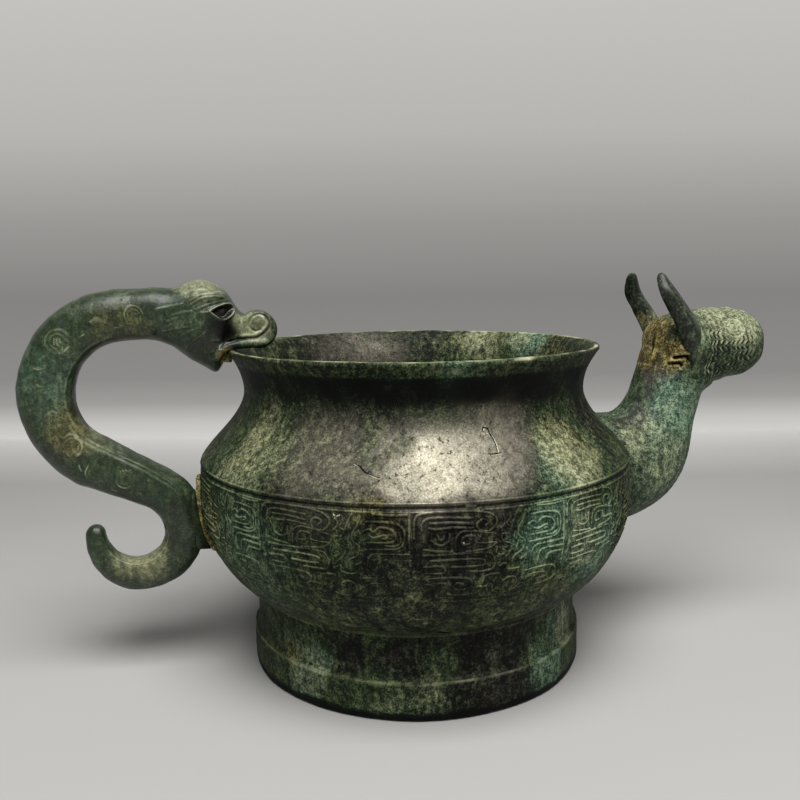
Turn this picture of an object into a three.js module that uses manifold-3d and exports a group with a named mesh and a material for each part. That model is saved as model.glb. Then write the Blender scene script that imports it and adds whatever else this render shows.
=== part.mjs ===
// A cast bronze pouring vessel: a round bowl on a ring foot, a dragon handle that bites the rim,
// and a curved spout that ends in a long-eared beast's head. The castings are held by spigots,
// tenons and solder seams. Millimetres, +Z up, handle towards -X, spout towards +X.
import * as THREE from 'three';
import { mergeVertices } from 'three/addons/utils/BufferGeometryUtils.js';
import Module from 'manifold-3d';

const wasm = await Module();
wasm.setup();

// Fit between neighbouring castings
const CLEARANCE = 0.3;

// Bowl: outside radius and height of each turn of its profile
const RIM_RADIUS = 78;
const RIM_HEIGHT = 134.5;
const NECK_RADIUS = 71.8;
const NECK_HEIGHT = 117;
const SHOULDER_RADIUS = 90.4;
const SHOULDER_HEIGHT = 88;
const BELLY_RADIUS = 91.5;
const BELLY_HEIGHT = 74;
const BASE_RADIUS = 58;
const BASE_HEIGHT = 30;
const BOWL_WALL = 3.2;

// Foot ring
const FOOT_RADIUS = 71;
const FOOT_WAIST_RADIUS = 69.4;
const FOOT_BAND_HEIGHT = 14.5;
const FOOT_WALL = 4;
const FOOT_SEAM = 4;

// Spout neck: radii of its two ends, the heights of its root and top, and its reach from the belly
const SPOUT_ROOT_RADIUS = 25;
const SPOUT_TOP_RADIUS = 15.5;
const SPOUT_HEIGHT = 72.5;
const SPOUT_TOP_HEIGHT = 118;
const SPOUT_REACH = 29.5;
const SPOUT_LEAN = 17;
const SPOUT_SPIGOT_RADIUS = 21;
const SPIGOT_WALL = 3;
const SPOUT_SEAM = 2.2;

// Beast head on the spout
const HEAD_SEAM = 1.4;
const HEAD_SPIGOT_RADIUS = 13;
const HEAD_SPIGOT_LENGTH = 8;
const SKULL_LENGTH = 33;
const SKULL_WIDTH = 38;
const SKULL_HEIGHT = 28;
const SNOUT_LENGTH = 37.5;
const SNOUT_RADIUS = 16;
const SNOUT_DEPTH = 0.5;
const MOUTH_RADIUS = 8;

// Ears of the beast head
const EAR_HEIGHT = 29;
const EAR_WIDTH = 10.5;
const EAR_THICKNESS = 5.5;
const EAR_TENON_RADIUS = 2.2;
const EAR_TENON_LENGTH = 6;

// Dragon handle: a large loop, a straight run and a small hooked tail
const LOOP_RADIUS = 32.2;
const HOOK_RADIUS = 17.7;
const ARM_STRAIGHT = 27.5;
const ARM_TOP_RUN = 11.7;
const ARM_THICKNESS = 20.5;
const ARM_WIDTH = 17;
const TAIL_THICKNESS = 11.5;
const TAIL_WIDTH = 14;
const TIP_THICKNESS = 6.5;
const TAIL_END_ANGLE = 168;
const LUG_GAP = 3;
const LUG_WIDTH = 10;
const LUG_ABOVE = 19;
const LUG_BELOW = 8;
const LUG_TENON_RADIUS = 4;
const LUG_SEAM = 1.8;

// Dragon head: its length before and behind the rim, its crown above the rim and its chin below it
const DRAGON_SNOUT = 20.5;
const DRAGON_BACK = 28.5;
const DRAGON_CROWN = 28.2;
const DRAGON_CHIN = 10;
const DRAGON_WIDTH = 24;
const DRAGON_SPIGOT_RADIUS = 6;
const DRAGON_SPIGOT_LENGTH = 9;
const RIM_SEAM_WIDTH = 13;

// Facets of the round forms
const BOWL_SIDES = 48;
const TUBE_SIDES = 20;
const PIN_SIDES = 16;

// Solids: closed three.js geometries in and out of the boolean library
function signedVolume(position, index) {
  const a = new THREE.Vector3();
  const b = new THREE.Vector3();
  const c = new THREE.Vector3();
  let sum = 0;
  for (let i = 0; i < index.length; i += 3) {
    a.fromBufferAttribute(position, index[i]);
    b.fromBufferAttribute(position, index[i + 1]);
    c.fromBufferAttribute(position, index[i + 2]);
    sum += a.dot(b.cross(c));
  }
  return sum;
}

function solid(geometry, matrix = new THREE.Matrix4()) {
  const bare = geometry.clone().applyMatrix4(matrix);
  bare.deleteAttribute('normal');
  bare.deleteAttribute('uv');
  const merged = mergeVertices(bare, 1e-4);
  const index = Array.from(merged.index.array);
  const triangles = [];
  for (let i = 0; i < index.length; i += 3) {
    const [a, b, c] = index.slice(i, i + 3);
    if (a !== b && b !== c && c !== a) triangles.push(a, b, c);
  }
  if (signedVolume(merged.attributes.position, triangles) < 0) triangles.reverse();
  return new wasm.Manifold(new wasm.Mesh({
    numProp: 3,
    vertProperties: new Float32Array(merged.attributes.position.array),
    triVerts: new Uint32Array(triangles),
  }));
}

function geometryOf(manifold) {
  const mesh = manifold.getMesh();
  const geometry = new THREE.BufferGeometry();
  geometry.setAttribute('position', new THREE.BufferAttribute(mesh.vertProperties, 3));
  geometry.setIndex(new THREE.BufferAttribute(mesh.triVerts, 1));
  geometry.computeVertexNormals();
  return geometry;
}

// Shape builders
function turned(points, sides = BOWL_SIDES) {
  const lathe = new THREE.LatheGeometry(points, sides);
  return solid(lathe, new THREE.Matrix4().makeRotationX(Math.PI / 2));
}

function rod(radius, from, to, sides = PIN_SIDES) {
  const axis = to.clone().sub(from);
  const turn = new THREE.Quaternion().setFromUnitVectors(
    new THREE.Vector3(0, 1, 0), axis.clone().normalize());
  const middle = from.clone().add(to).multiplyScalar(0.5);
  const matrix = new THREE.Matrix4().compose(middle, turn, new THREE.Vector3(1, 1, 1));
  return solid(new THREE.CylinderGeometry(radius, radius, axis.length(), sides), matrix);
}

function block(low, high) {
  const size = high.clone().sub(low);
  const middle = low.clone().add(high).multiplyScalar(0.5);
  const matrix = new THREE.Matrix4().makeTranslation(middle);
  return solid(new THREE.BoxGeometry(size.x, size.y, size.z), matrix);
}

// A closed skin through rings of points, with a fan on each end
function loft(rings) {
  const sides = rings[0].length;
  const points = rings.flat();
  const index = [];
  for (let r = 0; r + 1 < rings.length; r += 1) {
    for (let s = 0; s < sides; s += 1) {
      const a = r * sides + s;
      const b = r * sides + (s + 1) % sides;
      index.push(a, b, b + sides, a, b + sides, a + sides);
    }
  }
  for (const [first, last] of [[0, true], [(rings.length - 1) * sides, false]]) {
    const centre = new THREE.Vector3();
    for (let s = 0; s < sides; s += 1) centre.addScaledVector(points[first + s], 1 / sides);
    points.push(centre);
    for (let s = 0; s < sides; s += 1) {
      const a = first + s;
      const b = first + (s + 1) % sides;
      index.push(points.length - 1, last ? b : a, last ? a : b);
    }
  }
  const geometry = new THREE.BufferGeometry().setFromPoints(points);
  geometry.setIndex(index);
  return solid(geometry);
}

// A ring of points round a station; flat < 1 squares off the side that faces the way `across` points from
function ring(centre, across, high, wide, sides = TUBE_SIDES, flat = 1) {
  const side = new THREE.Vector3(0, 1, 0);
  const points = [];
  for (let s = 0; s < sides; s += 1) {
    const angle = 2 * Math.PI * s / sides;
    const lift = Math.cos(angle);
    const bend = lift < 0 ? -(Math.abs(lift) ** flat) : lift;
    points.push(centre.clone()
      .addScaledVector(across, high * bend)
      .addScaledVector(side, wide * Math.sin(angle)));
  }
  return points;
}

const at = (x, z, y = 0) => new THREE.Vector3(x, y, z);
const mix = THREE.MathUtils.lerp;
const ease = (t, from, to) => THREE.MathUtils.smoothstep(t, from, to);

// Bowl profile, from the middle of the base to the lip, as cubic curves between the named turns
function bowlProfile() {
  const to = (x, z) => new THREE.Vector2(x, z);
  const base = to(BASE_RADIUS, BASE_HEIGHT);
  const belly = to(BELLY_RADIUS, BELLY_HEIGHT);
  const shoulder = to(SHOULDER_RADIUS, SHOULDER_HEIGHT);
  const neck = to(NECK_RADIUS, NECK_HEIGHT);
  const rim = to(RIM_RADIUS, RIM_HEIGHT);
  const curve = (a, b, c, d, count) => new THREE.CubicBezierCurve(a, b, c, d).getPoints(count);
  const lowRound = to(mix(base.x, belly.x, 0.66), mix(base.y, belly.y, 0.09));
  const lowFull = to(belly.x, mix(base.y, belly.y, 0.55));
  const edge = to(mix(belly.x, shoulder.x, 0.3), mix(belly.y, shoulder.y, 0.8));
  const slope = to(mix(shoulder.x, neck.x, 0.08), mix(shoulder.y, neck.y, 0.2));
  const throat = to(neck.x, mix(shoulder.y, neck.y, 0.62));
  const flare = to(mix(neck.x, rim.x, 0.75), mix(neck.y, rim.y, 0.72));
  return [
    to(0, BASE_HEIGHT),
    ...curve(base, lowRound, lowFull, belly, 7),
    ...curve(belly, to(belly.x, mix(belly.y, shoulder.y, 0.4)), edge, shoulder, 2).slice(1),
    ...curve(shoulder, slope, throat, neck, 5).slice(1),
    ...curve(neck, to(neck.x, mix(neck.y, rim.y, 0.4)), flare, rim, 4).slice(1),
  ];
}

// The profile moved along its normals, outwards for a positive distance
function movedProfile(points, distance) {
  return points.map((point, i) => {
    if (i === 0) return new THREE.Vector2(0, point.y - distance);
    const before = points[i - 1];
    const after = points[Math.min(i + 1, points.length - 1)];
    const along = after.clone().sub(before).normalize();
    return new THREE.Vector2(point.x + along.y * distance, point.y - along.x * distance);
  });
}

// A solid of everything inside the bowl's outer skin, moved by `grow`, closed flat at `top`
function bowlPlug(grow, top) {
  const skin = movedProfile(bowlProfile(), grow);
  const lip = skin[skin.length - 1];
  const cover = [new THREE.Vector2(lip.x, top), new THREE.Vector2(0, top)];
  return turned([...skin.filter((p, i) => i === 0 || p.y < top), ...cover]);
}

const RIM_COVER = RIM_HEIGHT + CLEARANCE;
const bowlOutside = bowlPlug(0, RIM_HEIGHT);
const bowlInside = bowlPlug(-BOWL_WALL, RIM_HEIGHT + BOWL_WALL);
const bowlRoom = bowlPlug(CLEARANCE, RIM_COVER);
const bowlLipRoom = bowlRoom.subtract(bowlPlug(-BOWL_WALL - CLEARANCE, RIM_COVER + BOWL_WALL));

// Spout: a curved, tapering hollow neck from the belly to the head
const leanAngle = THREE.MathUtils.degToRad(SPOUT_LEAN);
const spoutUp = at(Math.sin(leanAngle), Math.cos(leanAngle));
const spoutRoot = at(BELLY_RADIUS - SPOUT_ROOT_RADIUS, SPOUT_HEIGHT);
const spoutTop = at(BELLY_RADIUS + SPOUT_REACH, SPOUT_TOP_HEIGHT);
const spoutRise = SPOUT_TOP_HEIGHT - SPOUT_HEIGHT;
const spoutPath = new THREE.CubicBezierCurve3(
  spoutRoot,
  at(BELLY_RADIUS + 0.6 * SPOUT_REACH, SPOUT_HEIGHT + 0.02 * spoutRise),
  spoutTop.clone().addScaledVector(spoutUp, -0.6 * spoutRise),
  spoutTop,
);

function spoutLoft(rootRadius, topRadius, steps = 9) {
  const rings = [];
  for (let i = 0; i <= steps; i += 1) {
    const t = i / steps;
    const along = spoutPath.getTangent(t);
    const across = at(-along.z, along.x);
    const radius = mix(rootRadius, topRadius, ease(t, 0.2, 0.85));
    rings.push(ring(spoutPath.getPoint(t), across, radius, radius));
  }
  return loft(rings);
}

const spoutTube = (grow) => spoutLoft(SPOUT_ROOT_RADIUS + grow, SPOUT_TOP_RADIUS + grow);
const rootBoreRadius = SPOUT_SPIGOT_RADIUS - SPIGOT_WALL;
const headBoreRadius = HEAD_SPIGOT_RADIUS - SPIGOT_WALL;
const spoutAxisOut = at(BELLY_RADIUS + 0.5 * SPOUT_REACH, SPOUT_HEIGHT);
const headSpigotEnd = spoutTop.clone().addScaledVector(spoutUp, HEAD_SEAM + HEAD_SPIGOT_LENGTH);
const headBoreEnd = headSpigotEnd.clone().addScaledVector(spoutUp, SPIGOT_WALL);
const spoutBore = spoutLoft(rootBoreRadius, headBoreRadius)
  .add(rod(rootBoreRadius, spoutRoot, at(BELLY_RADIUS, SPOUT_HEIGHT), TUBE_SIDES))
  .add(rod(headBoreRadius, spoutPath.getPoint(0.9), headBoreEnd, TUBE_SIDES));
const spoutSpigot = rod(SPOUT_SPIGOT_RADIUS, spoutRoot, spoutAxisOut, TUBE_SIDES)
  .intersect(bowlRoom.add(spoutTube(-CLEARANCE)))
  .subtract(bowlInside);
const spoutNeck = spoutTube(0)
  .subtract(bowlRoom)
  .add(spoutSpigot)
  .add(rod(HEAD_SPIGOT_RADIUS, spoutPath.getPoint(0.9), headSpigotEnd, TUBE_SIDES))
  .subtract(spoutBore);

// Solder bead in the corner between the spout's root and the belly
const spoutSeam = spoutTube(SPOUT_SEAM)
  .intersect(bowlPlug(SPOUT_SEAM + CLEARANCE, RIM_COVER))
  .subtract(bowlRoom)
  .subtract(spoutTube(CLEARANCE));

// Beast head: a skull, a round snout and a socket for the neck's spigot
const headBase = spoutTop.clone().addScaledVector(spoutUp, HEAD_SEAM + CLEARANCE);
const skullCentre = headBase.clone().addScaledVector(spoutUp, 0.43 * SKULL_HEIGHT);
const snoutEnd = skullCentre.x + SNOUT_LENGTH;
const snoutHeight = skullCentre.z - SNOUT_DEPTH;

function skull(grow) {
  const size = new THREE.Vector3(SKULL_LENGTH, SKULL_WIDTH, SKULL_HEIGHT)
    .multiplyScalar(0.5).addScalar(grow);
  const matrix = new THREE.Matrix4().compose(skullCentre, new THREE.Quaternion(), size);
  return solid(new THREE.SphereGeometry(1, TUBE_SIDES, TUBE_SIDES / 2), matrix);
}

// Snout rings as [share of the length, share of the radius, share of the radius it droops]
const SNOUT_RINGS = [
  [0, 0.86, 0.05], [0.3, 0.95, 0.02], [0.6, 1, 0],
  [0.8, 0.95, 0.02], [0.92, 0.78, 0.06], [1, 0.5, 0.1],
];

function snout(grow) {
  return loft(SNOUT_RINGS.map(([along, share, droop]) => {
    const centre = at(skullCentre.x + along * SNOUT_LENGTH, snoutHeight - droop * SNOUT_RADIUS);
    return ring(centre, at(0, 1), SNOUT_RADIUS * share + grow, SNOUT_RADIUS * share * 0.95 + grow);
  }));
}

const mouthAxis = at(snoutEnd + SNOUT_RADIUS, snoutHeight - 0.1 * SNOUT_RADIUS);
const mouthBore = rod(MOUTH_RADIUS, at(skullCentre.x, mouthAxis.z), mouthAxis, TUBE_SIDES);
const socketBottom = spoutTop.clone();
const socket = rod(HEAD_SPIGOT_RADIUS + CLEARANCE, socketBottom,
  headSpigotEnd.clone().addScaledVector(spoutUp, CLEARANCE), TUBE_SIDES);
const headShape = (grow) => skull(grow).add(snout(grow))
  .add(rod(SPOUT_TOP_RADIUS + grow, headBase, skullCentre, TUBE_SIDES));
const belowHead = rod(2 * SNOUT_LENGTH, headBase.clone().addScaledVector(spoutUp, -SNOUT_LENGTH), headBase);

// Ears: leaf-shaped blades that lean back, each on a round tenon in the side of the skull
const earRoot = skullCentre.clone().add(at(-0.17 * SKULL_LENGTH, 0.1 * SKULL_HEIGHT));

// Ear rings as [share of the height, lean back, spread from the root, share of the width, of the thickness]
const EAR_RINGS = [
  [0, 0, -0.3, 0.7, 0.8], [0.16, 0, -0.05, 1, 1], [0.4, -0.155, -0.045, 1, 0.95],
  [0.68, -0.33, -0.055, 0.74, 0.75], [0.88, -0.39, -0.14, 0.42, 0.5], [1, -0.41, -0.186, 0.16, 0.25],
];

function earTenon(hand, grow) {
  const seat = earRoot.clone().add(at(0, 0.12 * EAR_HEIGHT, hand * 0.5 * SKULL_WIDTH));
  const inward = new THREE.Vector3(0, -hand, 0);
  const depth = 0.15 * SKULL_WIDTH + EAR_TENON_LENGTH + grow;
  return rod(EAR_TENON_RADIUS + grow, seat, seat.clone().addScaledVector(inward, depth));
}

function ear(hand) {
  const blade = loft(EAR_RINGS.map(([rise, lean, spread, wide, thick]) => {
    const side = hand * (0.5 * SKULL_WIDTH + spread * EAR_HEIGHT);
    const centre = earRoot.clone().add(at(lean * EAR_HEIGHT, rise * EAR_HEIGHT, side));
    const across = new THREE.Vector3(1, 0, 0);
    return ring(centre, across, 0.5 * EAR_WIDTH * wide, 0.5 * EAR_THICKNESS * thick, PIN_SIDES);
  }));
  return blade.subtract(headShape(CLEARANCE)).add(earTenon(hand, 0));
}

const spoutHead = headShape(0)
  .subtract(belowHead)
  .subtract(socket)
  .subtract(spoutBore)
  .subtract(mouthBore)
  .subtract(earTenon(1, CLEARANCE))
  .subtract(earTenon(-1, CLEARANCE));

// Solder ring between the neck's shoulder and the head
const headSeamLow = spoutTop.clone().addScaledVector(spoutUp, CLEARANCE);
const headSeamHigh = spoutTop.clone().addScaledVector(spoutUp, HEAD_SEAM);
const headSeam = rod(SPOUT_TOP_RADIUS, headSeamLow, headSeamHigh, TUBE_SIDES)
  .subtract(socket);

// Dragon head, set out from the point where it bites the rim
const bite = at(-RIM_RADIUS, RIM_HEIGHT);
const dragonNeck = bite.clone().add(at(-DRAGON_BACK, 0.54 * DRAGON_CROWN));

// Upper head as [place from the back to the nose tip, top, bottom, width], heights in shares of the crown
const UPPER_HEAD = [
  [0, 0.88, 0.2, 0.72], [0.2, 0.93, 0.13, 0.84], [0.37, 1, 0.06, 0.98],
  [0.53, 0.93, 0.02, 1], [0.64, 0.74, 0.015, 0.9], [0.71, 0.57, 0.015, 0.76],
  [0.85, 0.6, 0.015, 0.72], [0.95, 0.52, 0.06, 0.64], [1, 0.35, 0.2, 0.3],
];

// Lower jaw as [place from the back to the rim, top in shares of the crown, chin in shares, width]
const LOWER_JAW = [
  [0, 0.3, -0.12, 0.7], [0.33, 0.25, 0.28, 0.8], [0.67, 0.1, 0.78, 0.74],
  [0.85, -0.1, 1, 0.62], [1.03, -0.24, 0.84, 0.36],
];

function dragonShape(grow) {
  const length = DRAGON_BACK + DRAGON_SNOUT;
  const upright = at(0, 1);
  const slab = (x, top, bottom, wide) => ring(bite.clone().add(at(x, 0.5 * (top + bottom))), upright,
    0.5 * (top - bottom) + grow, 0.5 * DRAGON_WIDTH * wide + grow);
  const upper = UPPER_HEAD.map(([along, top, bottom, wide]) => slab(
    along * length - DRAGON_BACK, top * DRAGON_CROWN, bottom * DRAGON_CROWN, wide));
  const jaw = LOWER_JAW.map(([along, top, chin, wide]) => slab(
    (along - 1) * DRAGON_BACK, top * DRAGON_CROWN, -chin * DRAGON_CHIN, wide));
  return loft(upper).add(loft(jaw));
}

const dragonSpigotEnd = dragonNeck.clone().add(at(DRAGON_SPIGOT_LENGTH, 0));
const dragonSpigot = (grow) => rod(DRAGON_SPIGOT_RADIUS + grow, dragonNeck.clone().add(at(-ARM_TOP_RUN, 0)),
  dragonSpigotEnd.clone().add(at(grow, 0)));
const dragonHead = dragonShape(0)
  .subtract(bowlLipRoom)
  .subtract(dragonSpigot(CLEARANCE));

// Solder that fills the dragon's mouth under the lip of the rim
const mouthCorner = bite.clone().add(at(-0.2 * DRAGON_BACK, -0.5 * DRAGON_CHIN, -0.5 * RIM_SEAM_WIDTH));
const mouthFront = bite.clone().add(at(0.5 * BOWL_WALL, -2 * CLEARANCE, 0.5 * RIM_SEAM_WIDTH));
const rimSeam = block(mouthCorner, mouthFront)
  .subtract(bowlRoom)
  .subtract(dragonShape(CLEARANCE));

// Handle arm: along the top, round the loop, down a straight run and round the hook to the tip
const loopCentre = at(dragonNeck.x - ARM_TOP_RUN, dragonNeck.z - LOOP_RADIUS);
const hookX = -(BELLY_RADIUS + LUG_GAP + 0.5 * TAIL_THICKNESS + HOOK_RADIUS);
const centreDistance = Math.hypot(LOOP_RADIUS + HOOK_RADIUS, ARM_STRAIGHT);
const hookDrop = Math.sqrt(centreDistance ** 2 - (hookX - loopCentre.x) ** 2);
const hookCentre = at(hookX, loopCentre.z - hookDrop);
const centreAngle = Math.atan2(-hookDrop, hookX - loopCentre.x);
const runAngle = centreAngle + Math.asin((LOOP_RADIUS + HOOK_RADIUS) / centreDistance);
const tipAngle = THREE.MathUtils.degToRad(TAIL_END_ANGLE);

function handlePath() {
  const round = (centre, radius, angle) => centre.clone()
    .add(at(radius * Math.cos(angle), radius * Math.sin(angle)));
  const stations = [{ place: dragonNeck.clone().add(at(-CLEARANCE, 0)), heading: Math.PI, size: 0 }];
  const loopStart = Math.PI / 2;
  const loopEnd = runAngle + 1.5 * Math.PI;
  const loopSteps = 15;
  for (let i = 0; i <= loopSteps; i += 1) {
    const angle = mix(loopStart, loopEnd, i / loopSteps);
    stations.push({
      place: round(loopCentre, LOOP_RADIUS, angle),
      heading: angle + Math.PI / 2,
      size: 0.1 * i / loopSteps,
    });
  }
  const hookStart = runAngle + Math.PI / 2;
  const hookEnd = tipAngle - 2 * Math.PI;
  const hookSteps = 15;
  for (let i = 0; i <= hookSteps; i += 1) {
    const angle = mix(hookStart, hookEnd, i / hookSteps);
    stations.push({
      place: round(hookCentre, HOOK_RADIUS, angle),
      heading: angle - Math.PI / 2,
      size: mix(0.45, 1, i / hookSteps),
    });
  }
  return stations;
}

// The arm's section is round outside and flat on the side that the fingers close on
function armShape(grow) {
  const FLAT_SIDE = 0.45;
  const rings = handlePath().map(({ place, heading, size }) => {
    const outward = at(Math.sin(heading), -Math.cos(heading));
    const taper = ease(size, 0, 0.6);
    const tip = ease(size, 0.6, 1);
    const thick = mix(mix(ARM_THICKNESS, TAIL_THICKNESS, taper), TIP_THICKNESS, tip);
    const wide = mix(mix(ARM_WIDTH, TAIL_WIDTH, taper), TIP_THICKNESS, tip);
    return ring(place, outward, 0.5 * thick + grow, 0.5 * wide + grow, TUBE_SIDES, FLAT_SIDE);
  });
  return loft(rings);
}

// The lug joins the arm to the belly, and its tenon goes through the belly's wall
function lug(grow) {
  const reach = BELLY_RADIUS + LUG_GAP + 0.5 * TAIL_THICKNESS;
  return block(
    at(-reach, hookCentre.z - LUG_BELOW - grow, -0.5 * LUG_WIDTH - grow),
    at(-NECK_RADIUS, hookCentre.z + LUG_ABOVE + grow, 0.5 * LUG_WIDTH + grow),
  );
}

const lugTenon = (grow) => rod(LUG_TENON_RADIUS + grow,
  at(hookCentre.x + HOOK_RADIUS, hookCentre.z), at(-NECK_RADIUS, hookCentre.z));
const handleArm = armShape(0)
  .add(lug(0).subtract(bowlRoom))
  .add(lugTenon(0).subtract(bowlInside))
  .add(dragonSpigot(0))
  .subtract(bowlPlug(CLEARANCE, RIM_COVER).subtract(lugTenon(0)));
const lugSeam = lug(LUG_SEAM)
  .intersect(bowlPlug(LUG_SEAM + CLEARANCE, RIM_COVER))
  .subtract(bowlRoom)
  .subtract(lug(CLEARANCE))
  .subtract(armShape(CLEARANCE));

// Bowl, with the holes for the spout's spigot and the handle's tenon
const bowl = bowlOutside
  .subtract(bowlInside)
  .subtract(rod(SPOUT_SPIGOT_RADIUS + CLEARANCE, spoutRoot, spoutAxisOut, TUBE_SIDES))
  .subtract(lugTenon(CLEARANCE));

// Foot ring: a straight wall on a wider band, cut to the round of the bowl's underside
function footShape(grow) {
  const to = (x, z) => new THREE.Vector2(x, z);
  const inside = FOOT_WAIST_RADIUS - FOOT_WALL - grow;
  const profile = [
    to(inside, 0),
    to(FOOT_RADIUS + grow, 0),
    to(FOOT_RADIUS + grow, FOOT_BAND_HEIGHT),
    to(FOOT_WAIST_RADIUS + grow, FOOT_BAND_HEIGHT + FOOT_RADIUS - FOOT_WAIST_RADIUS),
    to(FOOT_WAIST_RADIUS + grow, BELLY_HEIGHT),
    to(inside, BELLY_HEIGHT),
    to(inside, 0),
  ];
  return turned(profile);
}

const footRing = footShape(0).subtract(bowlRoom);

// Solder fillet inside the foot, in the corner under the bowl
const seamCorner = FOOT_WAIST_RADIUS - FOOT_WALL;
const footSeam = turned([
  new THREE.Vector2(seamCorner - FOOT_SEAM, BASE_HEIGHT),
  new THREE.Vector2(seamCorner, BASE_HEIGHT - FOOT_SEAM),
  new THREE.Vector2(seamCorner, BELLY_HEIGHT),
  new THREE.Vector2(seamCorner - FOOT_SEAM, BELLY_HEIGHT),
  new THREE.Vector2(seamCorner - FOOT_SEAM, BASE_HEIGHT),
]).subtract(bowlRoom).subtract(footShape(CLEARANCE));

// Finishes
function finish(color, roughness, metalness) {
  return new THREE.MeshStandardMaterial({ color, roughness, metalness });
}

const DARK_BRONZE = finish(0x3d4237, 0.6, 0.6);
const GREEN_BRONZE = finish(0x3f5a48, 0.7, 0.45);
const FOOT_BRONZE = finish(0x353d31, 0.65, 0.5);
const SOLDER = finish(0x8a7752, 0.75, 0.3);

// Assembly, set down with its origin under the middle of its overall length and width
const vessel = new THREE.Group();
const pieces = [
  ['bowl', bowl, DARK_BRONZE],
  ['foot_ring', footRing, FOOT_BRONZE],
  ['foot_solder', footSeam, SOLDER],
  ['spout_neck', spoutNeck, GREEN_BRONZE],
  ['spout_solder', spoutSeam, SOLDER],
  ['spout_head', spoutHead, GREEN_BRONZE],
  ['spout_head_solder', headSeam, SOLDER],
  ['ear_left', ear(1), GREEN_BRONZE],
  ['ear_right', ear(-1), GREEN_BRONZE],
  ['handle_arm', handleArm, GREEN_BRONZE],
  ['dragon_head', dragonHead, GREEN_BRONZE],
  ['rim_solder', rimSeam, SOLDER],
  ['lug_solder', lugSeam, SOLDER],
];
for (const [name, body, material] of pieces) {
  const mesh = new THREE.Mesh(geometryOf(body), material);
  mesh.name = name;
  vessel.add(mesh);
}
const middle = new THREE.Box3().setFromObject(vessel).getCenter(new THREE.Vector3());
vessel.position.set(-middle.x, -middle.y, 0);

export default vessel;
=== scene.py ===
import math

import bmesh
import bpy
import numpy as np
from mathutils import Matrix, Vector, noise
from mathutils.geometry import interpolate_bezier


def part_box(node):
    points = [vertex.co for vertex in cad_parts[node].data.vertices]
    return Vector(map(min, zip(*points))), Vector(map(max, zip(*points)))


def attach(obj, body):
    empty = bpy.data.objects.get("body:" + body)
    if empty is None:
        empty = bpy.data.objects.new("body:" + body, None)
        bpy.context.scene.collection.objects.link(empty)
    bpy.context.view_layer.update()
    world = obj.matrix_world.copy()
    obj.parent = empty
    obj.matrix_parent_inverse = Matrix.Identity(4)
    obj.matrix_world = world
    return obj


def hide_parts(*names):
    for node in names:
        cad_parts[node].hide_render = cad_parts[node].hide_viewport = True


# The clock seeds vector noise unless it is set, and the scales have to come out the same each run
NOISE_SEED = 7
noise.seed_set(NOISE_SEED)

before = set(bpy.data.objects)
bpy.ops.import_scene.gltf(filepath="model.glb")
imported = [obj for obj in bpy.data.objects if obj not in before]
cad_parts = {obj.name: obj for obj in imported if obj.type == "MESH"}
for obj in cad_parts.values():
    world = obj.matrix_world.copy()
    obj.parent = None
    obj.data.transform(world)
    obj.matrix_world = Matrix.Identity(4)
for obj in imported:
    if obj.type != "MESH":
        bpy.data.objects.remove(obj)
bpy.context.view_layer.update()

# Bowl. One thick casting, round in plan, with a full belly, a sloping shoulder, a drawn-in neck and a
# flared rim. Bronze, cast in a piece mould that also gave the belly its raised thread ornament. It stands
# in the ring foot, and its wall is pierced for the spout's spigot and for the tenon of the handle.
MM = 0.001
foot_low, foot_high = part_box("foot_ring")
AXIS = Vector(((foot_low.x + foot_high.x) / 2, 0, 0))
BOWL_WALL = 3.2
BOWL_STEPS = 240
BOWL_WAVES = [(0.35, 45), (0.12, 9)]
CURVE_STEPS = 15
BASE_RADII = (0, 20, 40)
# Curves of the outer profile from the base to the lip, as radius and height of their four points
BOWL_CURVES = [
    [(58, 30), (80, 34), (91.5, 54), (91.5, 74)],
    [(91.5, 74), (91.5, 79.5), (91.3, 84), (91, 86.4)],
    [(91.1, 88.2), (89.6, 94), (71.8, 106), (71.8, 117)],
    [(71.8, 117), (71.8, 124), (75.5, 129.5), (77.4, 132.3)],
]
SHOULDER_GROOVE = [(90.9, 86.8), (90.5, 87.1), (90.5, 87.6), (90.9, 88)]
LIP_EDGE = [(78, 133), (78, 134), (77.4, 134.5), (76.2, 134.5), (75.4, 133.9)]
SPOUT_HOLE_RADIUS = 21.3
SPOUT_HEIGHT = 72.5
TENON_HOLE_RADIUS = 4.3
TENON_HEIGHT = 60.6
HOLE_START = 60
HOLE_REACH = 50

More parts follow.
